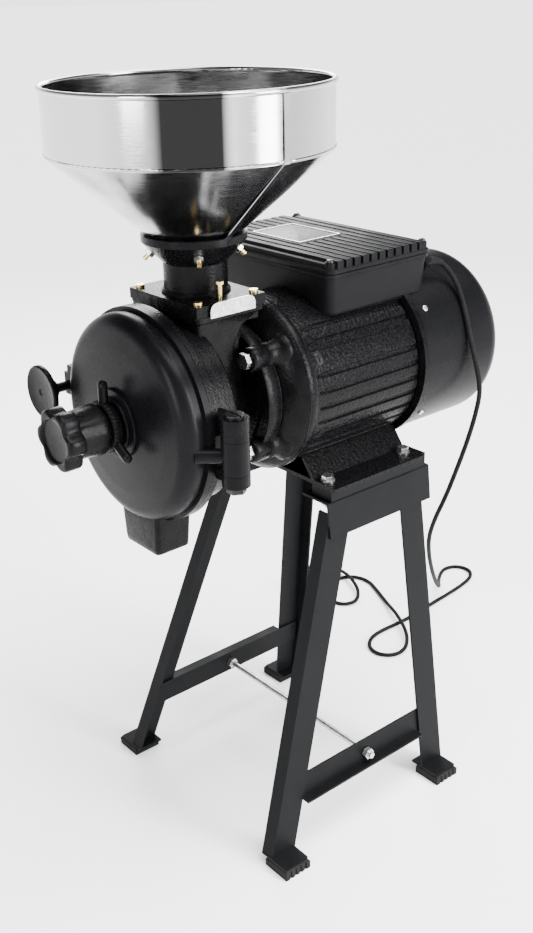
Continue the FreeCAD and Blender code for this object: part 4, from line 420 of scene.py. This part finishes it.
def block(name, low, high, corner, edge, body, finish):
    """A low block whose upright corners are round and whose top edge is eased."""
    x_low, y_low, z_low = low
    x_high, y_high, z_high = high
    nip = edge * 0.3
    loops = [
        slab(x_low, x_high, y_low, y_high, z_low, corner),
        slab(x_low, x_high, y_low, y_high, z_high - edge, corner),
        slab(x_low + nip, x_high - nip, y_low + nip, y_high - nip, z_high - nip, corner),
        slab(x_low + edge, x_high - edge, y_low + edge, y_high - edge, z_high, corner),
    ]
    return loft(name, loops, body, finish, sharp=30)


def join(name, pieces):
    """Several pieces of one body and finish become one."""
    first = pieces[0]
    shape = bmesh.new()
    for piece in pieces:
        shape.from_mesh(piece.data)
    shape.to_mesh(first.data)
    shape.free()
    for piece in pieces[1:]:
        bpy.data.objects.remove(piece)
    first.name = name
    return first


# The power cord's route in millimetres, from the gland to the plug.
CORD_ROUTE = [
    (61.0, 208.5, 697.0), (61.0, 226.0, 695.0), (67.0, 241.0, 684.0), (84.0, 243.0, 662.0),
    (101.0, 238.0, 634.0), (113.0, 236.0, 603.0), (121.0, 241.0, 570.0), (125.0, 248.0, 534.0),
    (119.0, 247.0, 496.0), (110.0, 244.0, 456.0), (97.0, 241.0, 412.0), (80.0, 243.0, 368.0),
    (58.0, 249.0, 326.0), (36.0, 263.0, 284.0), (14.0, 290.0, 240.0), (-10.0, 324.0, 196.0),
    (-38.0, 364.0, 152.0), (-70.0, 408.0, 110.0), (-106.0, 456.0, 70.0), (-142.0, 502.0, 36.0),
    (-176.0, 540.0, 14.0), (-204.0, 574.0, 4.0), (-218.0, 602.0, 3.4), (-208.0, 628.0, 3.4),
    (-182.0, 634.0, 3.4), (-163.0, 614.0, 3.4), (-155.0, 580.0, 3.4), (-150.0, 536.0, 3.4),
    (-147.0, 492.0, 3.4), (-142.0, 448.0, 3.4), (-140.0, 405.0, 3.4), (-143.0, 365.0, 3.4),
    (-140.0, 332.0, 3.4), (-122.0, 308.0, 3.4), (-96.0, 303.0, 3.4), (-76.0, 320.0, 3.4),
    (-76.0, 348.0, 4.0), (-94.0, 372.0, 9.0), (-124.0, 392.0, 12.0), (-160.0, 411.0, 11.5),
    (-202.0, 432.0, 5.0), (-244.0, 452.0, 3.4), (-280.0, 466.0, 3.4), (-310.0, 456.0, 3.4),
    (-322.0, 430.0, 3.4), (-312.0, 404.0, 3.4), (-294.0, 380.0, 3.4), (-270.0, 364.0, 3.4),
    (-246.0, 372.0, 3.4), (-238.0, 396.0, 5.0), (-256.0, 418.0, 10.0), (-286.0, 434.0, 12.0),
    (-320.0, 446.0, 10.5), (-352.0, 452.0, 4.0), (-384.0, 438.0, 3.4), (-392.0, 408.0, 3.4),
    (-378.0, 380.0, 3.4), (-354.0, 358.0, 3.4),
]

# In metres.
CORD_RADIUS = 0.0032


def add_cord():
    """The free cord, a smooth line along its route."""
    curve = bpy.data.curves.new("cord", "CURVE")
    curve.dimensions = "3D"
    line = curve.splines.new("NURBS")
    line.points.add(len(CORD_ROUTE) - 1)
    for point, spot in zip(line.points, CORD_ROUTE):
        point.co = (*(value / MM_PER_M for value in spot), 1)
    line.order_u = 3
    line.use_endpoint_u = True
    line.resolution_u = 10
    curve.bevel_depth = CORD_RADIUS
    curve.bevel_resolution = 5
    curve.use_fill_caps = True
    cord = new_object("cord", curve, "base", cord_rubber)
    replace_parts(cord, "power_cord")


add_cord()


def smooth_step(value):
    """Eases from 0 to 1."""
    value = min(max(value, 0), 1)
    return value * value * (3 - 2 * value)


# The motor's housing: its radius, where it starts, and the step at its front edge.
HOUSING_RADIUS = 105
HOUSING_FRONT = -18.5
HOUSING_STEP = 1.0

# Its grooves. Each starts as a point and widens over a length along the shaft. A bare arc on top has none.
# Breadths and slopes across a groove are angles in degrees.
GROOVES = 34
GROOVE_DEPTH = 3.4
GROOVE_START = -14
GROOVE_WIDENS = 16
GROOVE_HALF_ANGLE = 1.55
GROOVE_EDGE_ANGLE = 0.5
GROOVE_SLOPE_ANGLE = 0.9
GROOVE_LEAST_ANGLE = 0.05
BARE_FROM, BARE_TO = 50, 130

# A raised pad takes the place of one groove. It slopes off at its ends and sides.
PAD_GROOVE = 2
PAD_RISE = 1.6
PAD_ANGLE = 28.8
PAD_HALF_ANGLE = 5.6
PAD_SLOPE_ANGLE = 0.7
PAD_START, PAD_END = -8, 146
PAD_END_SLOPE = 3


def groove_depth(turn, along):
    """How far the skin sinks at an angle and a place along the shaft. It is less than 0 where it rises."""
    pitch = 360 / GROOVES
    angle = math.degrees(turn)
    angle = angle - 360 if angle > 180 else angle
    count = math.floor(angle / pitch)
    if count == PAD_GROOVE:
        past = max(abs(angle - PAD_ANGLE) - PAD_HALF_ANGLE, 0)
        side = smooth_step(1 - past / PAD_SLOPE_ANGLE)
        front = smooth_step((along - PAD_START) / PAD_END_SLOPE)
        back = smooth_step((PAD_END - along) / PAD_END_SLOPE)
        return -PAD_RISE * (side * front * back)
    if along < GROOVE_START or BARE_FROM < angle < BARE_TO:
        return 0
    offset = abs(angle - (count + 0.5) * pitch)
    half_width = GROOVE_HALF_ANGLE * math.sqrt(min((along - GROOVE_START) / GROOVE_WIDENS, 1))
    if half_width <= GROOVE_LEAST_ANGLE:
        return 0
    return GROOVE_DEPTH * smooth_step((half_width + GROOVE_EDGE_ANGLE - offset) / GROOVE_SLOPE_ANGLE)


def housing_reach(along):
    """The housing's radius at a place along the shaft, as a function of the angle."""
    ease = HOUSING_STEP if along == HOUSING_FRONT else 0.0
    return lambda turn: HOUSING_RADIUS - ease - groove_depth(turn, along)


def add_housing():
    """The motor's housing, with narrow grooves that end in points and a plain bore."""
    places = [HOUSING_FRONT, -17.5, -14, -13, -11, -8, -5, -2, 2, 20, 50, 80, 110, 142, 144, 146, 150]
    profile = [(housing_reach(along), along) for along in places]
    profile += [(101.6, 150.6), (101.6, 154.5), (97, 154.5), (97, HOUSING_FRONT)]
    housing = lathe("grooved_housing", "y", SHAFT, profile, "base", wrinkle,
                    steps=GROOVES * 16, ring=True, sharp=40)
    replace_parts(housing, "motor_housing")


def add_bell():
    """The rounded front bell, fitted over its turned solid, and the four bolt arms that grow out of it."""
    skin = [
        (106.9, -18.6), (107.6, -19.6), (107.6, -27), (106.6, -30.4), (104, -34.5), (99.5, -39.5), (94, -44),
        (88, -47.8), (82, -50.8), (77.5, -53.2), (76.3, -55.5), (74, -55.5), (74, -18.6),
    ]
    lathe("bell_skin", "y", SHAFT, skin, "base", cast, steps=160, ring=True, sharp=50)
    band = [(84.6, -73.8), (85.2, -72.8), (85.2, -55.6), (84.4, -54.8), (70, -54.8), (70, -73.8)]
    lathe("flange_band", "y", SHAFT, band, "base", cast, steps=160, ring=True, sharp=50)
    bolt_circle = 83
    bulge = [
        (12.2, -85.4), (13.6, -84.2), (14.2, -81), (14.2, -64.4), (13.4, -63.6), (14.4, -62.8),
        (14.8, -56), (16, -50), (18.6, -45), (22.5, -41), (22.5, -36),
    ]
    arms = []
    for degrees in (42, 138, 222, 318):
        angle = math.radians(degrees)
        centre = (SHAFT[0] + bolt_circle * math.cos(angle), SHAFT[1] + bolt_circle * math.sin(angle))
        arms.append(lathe("arm", "y", centre, bulge, "base", cast, steps=48, sharp=50))
    join("bell_arms", arms)


def add_tower():
    """The broad wall between the grain inlet's table and the drum."""
    stack("tower_wall", [
        (-44, 44, -150, -101, 596, 8),
        (-53, 53, -150, -98, 628, 8),
        (-57, 57, -150.5, -95.5, 655, 7),
        (-59, 59, -151, -84, 678, 6),
        (-60, 60, -151.5, -66, 688, 5),
        (-62.5, 62.5, -153.2, -59.5, 690.5, 5),
        (-62.5, 62.5, -153.2, -59.5, 696.5, 5),
    ], cast)


def add_chute():
    """The outlet below the drum, drawn with a slight taper."""
    stack("chute_skin", [
        (-31.5, 31.5, -201, -156, 417, 5),
        (-33, 33, -202, -155.3, 418.6, 6),
        (-34, 34, -202.6, -155, 424, 6),
        (-36, 36, -203, -154, 450, 6),
        (-38, 38, -203.4, -153, 474, 6),
        (-38, 38, -200, -153, 484, 6),
        (-26, 26, -194, -162, 484, 4),
        (-26, 26, -194, -162, 417, 4),
    ], cast, ring=True)


LID_SCREWS = [(x, y) for x in (-160, 68) for y in (35.5, 188.5)]


def add_box_case():
    """The wide terminal box, open at the top."""
    case = stack("box_case", [
        (-163, 69, 33, 191, 662, 12),
        (-165.5, 71.5, 31, 193, 664, 13),
        (-166.5, 72.5, 30.4, 193.6, 668, 13),
        (-169, 75, 28.6, 195.4, 705, 12),
        (-169.2, 75.2, 28.4, 195.6, 708, 12),
        (-171, 77, 27, 197, 709, 12),
        (-171, 77, 27, 197, 713, 12),
        (-165, 71, 33, 191, 713, 9),
        (-160, 66, 37, 187, 670, 9),
        (-160, 66, 37, 187, 669, 9),
    ], plastic)
    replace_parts(case, "terminal_box")


def add_box_lid():
    """The lid: a stepped rim, a row of ribs, a boss for each screw and a pad under the plate."""
    parts = [stack("lid", [
        (-171, 77, 27, 197, 713.6, 12),
        (-172, 78, 26.5, 197.5, 714.6, 12),
        (-172, 78, 26.5, 197.5, 718.6, 12),
        (-170.5, 76.5, 28, 196, 719.6, 11),
        (-168, 73.5, 30, 194, 720.2, 9),
        (-167.5, 73, 30.5, 193.5, 724.4, 9),
        (-166.5, 72, 31.5, 192.5, 725, 9),
    ], plastic)]
    ribs, first, last, half = 11, 44, 180, 5.1
    for count in range(ribs):
        middle = first + count * (last - first) / (ribs - 1)
        # The two outer ribs stop short of the far screws.
        far = -168 if 52 < middle < 172 else -150
        low, high = (far, middle - half, 719), (77.2, middle + half, 728.8)
        parts.append(block("rib", low, high, 1.2, 1.0, "base", plastic))
    boss = [(6.4, 719), (6.4, 726), (5.6, 727)]
    for spot in LID_SCREWS:
        parts.append(lathe("boss", "z", spot, boss, "base", plastic, steps=32))
    parts.append(block("pad", (-120, 66, 724), (-19, 146, 729), 3, 0.4, "base", plastic))
    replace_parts(join("box_lid", parts), "terminal_box_lid")


def add_lid_screws():
    """Round heads, each with a small recess."""
    head = [(4.4, 726.5), (4.6, 728), (3.9, 729.6), (2.4, 730.2), (1.2, 730.2), (1.1, 729.2)]
    screws = [lathe("screw", "z", spot, head, "base", black_steel, steps=32) for spot in LID_SCREWS]
    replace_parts(join("box_screws", screws), "lid_screws")


def add_bare_plate():
    """The bare plate on the lid and its bright border."""
    face = block("label_plate", (-114, 72, 728), (-25, 140, 729.2), 1.5, 0.3, "base", plate)
    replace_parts(face, "bare_plate")
    stack("plate_border", [
        (-114.4, -24.6, 71.6, 140.4, 728.4, 1.6),
        (-114.4, -24.6, 71.6, 140.4, 729.9, 1.6),
        (-112.8, -26.2, 73.2, 138.8, 729.9, 1.2),
        (-112.8, -26.2, 73.2, 138.8, 728.4, 1.2),
    ], bright, ring=True)


def star_reach(scale):
    """The star's outline with six lobes, as a function of the angle."""
    tip, dip, sharpness = 35.6, 6.4, 3.2
    return lambda turn: scale * (tip - dip * abs(math.sin(3 * turn)) ** sharpness)


def add_star_knob():
    """Six broad lobes, a dished face and a hub that flares towards the lock ring."""
    hub = [
        (22.4, -249.5), (27.5, -249.5), (28.8, -250.6), (29, -253), (28.4, -262), (27.4, -274), (27, -283.1),
    ]
    lobes = [
        (0.93, -283.3), (0.97, -284), (1.0, -286.5), (1.0, -300.5), (0.985, -303), (0.94, -304.9),
        (0.88, -305.4),
    ]
    dish = [(25.6, -305.2), (24.6, -304.2), (23.6, -302.2), (12, -301.2), (4, -301)]
    profile = hub + [(star_reach(scale), along) for scale, along in lobes] + dish
    star = lathe("star", "y", SHAFT, profile, "adjuster", knob, steps=144, sharp=50)
    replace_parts(star, "star_knob")


def knurl_reach(turn):
    """The lock ring's rim with its shallow knurls, at an angle."""
    radius, depth, knurls = 29.4, 0.5, 40
    return radius + depth * math.cos(knurls * turn)


def add_handle(degrees):
    """A straight, slightly flat handle of the lock ring with a round end."""
    angle = math.radians(degrees)
    out = Vector((math.cos(angle), 0, math.sin(angle)))
    aside = Vector((-math.sin(angle), 0, math.cos(angle)))
    fore = Vector((0, 1, 0))
    hub = Vector((SHAFT[0], -239.5, SHAFT[1]))
    flatness, steps = 0.9, 24
    loops = []
    for reach, thick in ((24, 6.2), (34, 6), (44, 6), (49, 6), (51.6, 5.1), (53, 3), (53.2, 1)):
        middle = hub + out * reach
        loop = []
        for step in range(steps):
            part = 2 * math.pi * step / steps
            sideways = aside * thick * math.cos(part)
            forward = fore * thick * flatness * math.sin(part)
            loop.append(tuple(middle + sideways + forward))
        loops.append(loop)
    return loft("handle", loops, "lock", knob, sharp=60)


def add_lock_ring():
    """The knurled lock ring with its three handles."""
    profile = [
        (22.4, -233.7), (28, -233.7), (knurl_reach, -235), (knurl_reach, -244), (28, -245.3), (22.4, -245.3),
    ]
    parts = [lathe("ring", "y", SHAFT, profile, "lock", knob, steps=240, ring=True, sharp=50)]
    parts += [add_handle(degrees) for degrees in (88, -32, 208)]
    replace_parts(join("ring_with_handles", parts), "lock_ring")


def add_clamp_knob():
    """The side clamp's thin dished disc on its screw."""
    low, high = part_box("clamp_screw")
    centre = ((low.x + high.x) / 2 * MM_PER_M, (low.z + high.z) / 2 * MM_PER_M)
    front, back = low.y * MM_PER_M, high.y * MM_PER_M
    disc = [
        (4, 2.2), (4.2, 1.4), (8, 1.2), (24, 1.6), (28, 0.4), (31, 0.1), (32.6, 1.2), (33, 3.4), (32.4, 6.4),
        (30.4, 7.4), (14, 7.6), (11.4, 9), (11, 20), (8, 21.5), (5.9, 22),
    ]
    profile = [(radius, front + depth) for radius, depth in disc]
    profile += [(5.9, back - 1), (5, back)]
    disc = lathe("clamp_disc", "y", centre, profile, "clamp", knob, sharp=40)
    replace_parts(disc, "clamp_screw")


def add_strain_relief():
    """The tapered sleeve where the cord leaves the gland. It bends down with the cord."""
    gland_x, gland_z, bend_start = 61, 697, 208
    aside, down = 0.006, 0.010
    sleeve = [
        (5.2, 197.6), (6.8, 200), (6.8, 206), (6.2, 207), (6.2, 212), (5.6, 213), (5.4, 219), (4.9, 220),
        (4.6, 226), (4.1, 227), (3.7, 232), (3.3, 233),
    ]
    loops = []
    for radius, along in sleeve:
        past = max(along - bend_start, 0)
        middle = (gland_x + aside * past * past, gland_z - down * past * past)
        loops.append(circle("y", middle, along, radius, 32))
    loft("strain_relief", loops, "base", cord_rubber, sharp=60)


def add_hopper_seam():
    """The hopper's lap seam, a thin strip up its cone and wall."""
    wall_radius, gap = 155, 0.1
    loops = []
    for height, radius in ((775, 59), (790, 75.4), (862, 154.9), (866, 155.9), (928, 155.9)):
        loop = []
        for degrees, lift in ((-1.2, 0.0), (-1.1, 1.0), (1.4, 1.0), (1.7, 0.0)):
            angle = math.radians(degrees) * wall_radius / radius
            reach = radius + gap + lift
            loop.append((reach * math.cos(angle), HOPPER_Y + reach * math.sin(angle), height))
        loops.append(loop)
    loft("hopper_seam", loops, "base", steel_sheet, sharp=20)


add_housing()
add_bell()
add_tower()
add_chute()
add_box_case()
add_box_lid()
add_lid_screws()
add_bare_plate()
add_star_knob()
add_lock_ring()
add_clamp_knob()
add_strain_relief()
add_hopper_seam()


# The stage.

def add_floor():
    """A pale floor of very faintly uneven paper. It reaches so far that its edge meets the sky."""
    reach = 90
    corners = ((-reach, -reach), (reach, -reach), (reach, reach), (-reach, reach))
    shape = bmesh.new()
    shape.faces.new([shape.verts.new((x, y, 0)) for x, y in corners])
    floor_mesh = bpy.data.meshes.new("floor")
    shape.to_mesh(floor_mesh)
    shape.free()
    floor = bpy.data.objects.new("floor", floor_mesh)
    scene.collection.objects.link(floor)
    paper = Paint("paper", (0.90, 0.90, 0.90), 0.9)
    cloud = paper.noise(3, 2)
    paper.colour(paper.ramp(cloud, [(0.3, (0.895, 0.895, 0.895)), (0.7, (0.905, 0.905, 0.905))]))
    floor_mesh.materials.append(paper.material)


def add_world():
    """A sky that is bright at the horizon and dim above, so that level black surfaces stay black."""
    horizon, above = 2.9, 0.30
    fade_start, fade_end = 0.0, 0.40
    world = bpy.data.worlds.new("studio")
    scene.world = world
    world.use_nodes = True
    tree = world.node_tree
    back = tree.nodes["Background"]
    back.inputs["Color"].default_value = (0.96, 0.97, 1.0, 1)
    ways = tree.nodes.new("ShaderNodeTexCoord")
    split = tree.nodes.new("ShaderNodeSeparateXYZ")
    fade = tree.nodes.new("ShaderNodeMapRange")
    fade.interpolation_type = "SMOOTHSTEP"
    fade.inputs["From Min"].default_value = fade_start
    fade.inputs["From Max"].default_value = fade_end
    fade.inputs["To Min"].default_value = horizon
    fade.inputs["To Max"].default_value = above
    tree.links.new(ways.outputs["Generated"], split.inputs["Vector"])
    tree.links.new(split.outputs["Z"], fade.inputs["Value"])
    tree.links.new(fade.outputs["Result"], back.inputs["Strength"])


def add_lamp(name, spot, aim, width, height, power):
    """A soft box at a spot, turned to its aim. Sizes are in metres and power is in watts."""
    data = bpy.data.lights.new(name, "AREA")
    data.shape = "RECTANGLE"
    data.size, data.size_y = width, height
    data.energy = power
    lamp = bpy.data.objects.new(name, data)
    lamp.location = spot
    lamp.rotation_euler = (Vector(aim) - Vector(spot)).to_track_quat("-Z", "Y").to_euler()
    scene.collection.objects.link(lamp)


def add_overhead(strength, spread):
    """A very soft light from above, even over the whole floor. Its spread is in degrees."""
    data = bpy.data.lights.new("overhead", "SUN")
    data.energy = strength
    data.angle = math.radians(spread)
    lamp = bpy.data.objects.new("overhead", data)
    tilt_x, tilt_y = -12, 14
    lamp.rotation_euler = (math.radians(tilt_x), math.radians(tilt_y), 0)
    scene.collection.objects.link(lamp)


add_floor()
add_world()
add_overhead(strength=10.5, spread=50)
add_lamp("side_box", (1.9, 0.7, 1.1), aim=(0, 0, 0.65), width=0.6, height=1.5, power=130)
add_lamp("front_box", (0.5, -2.3, 1.3), aim=(0, 0, 0.6), width=0.7, height=1.3, power=60)
add_lamp("rear_box", (-1.7, 1.2, 1.7), aim=(0, 0, 0.6), width=1.0, height=1.2, power=60)
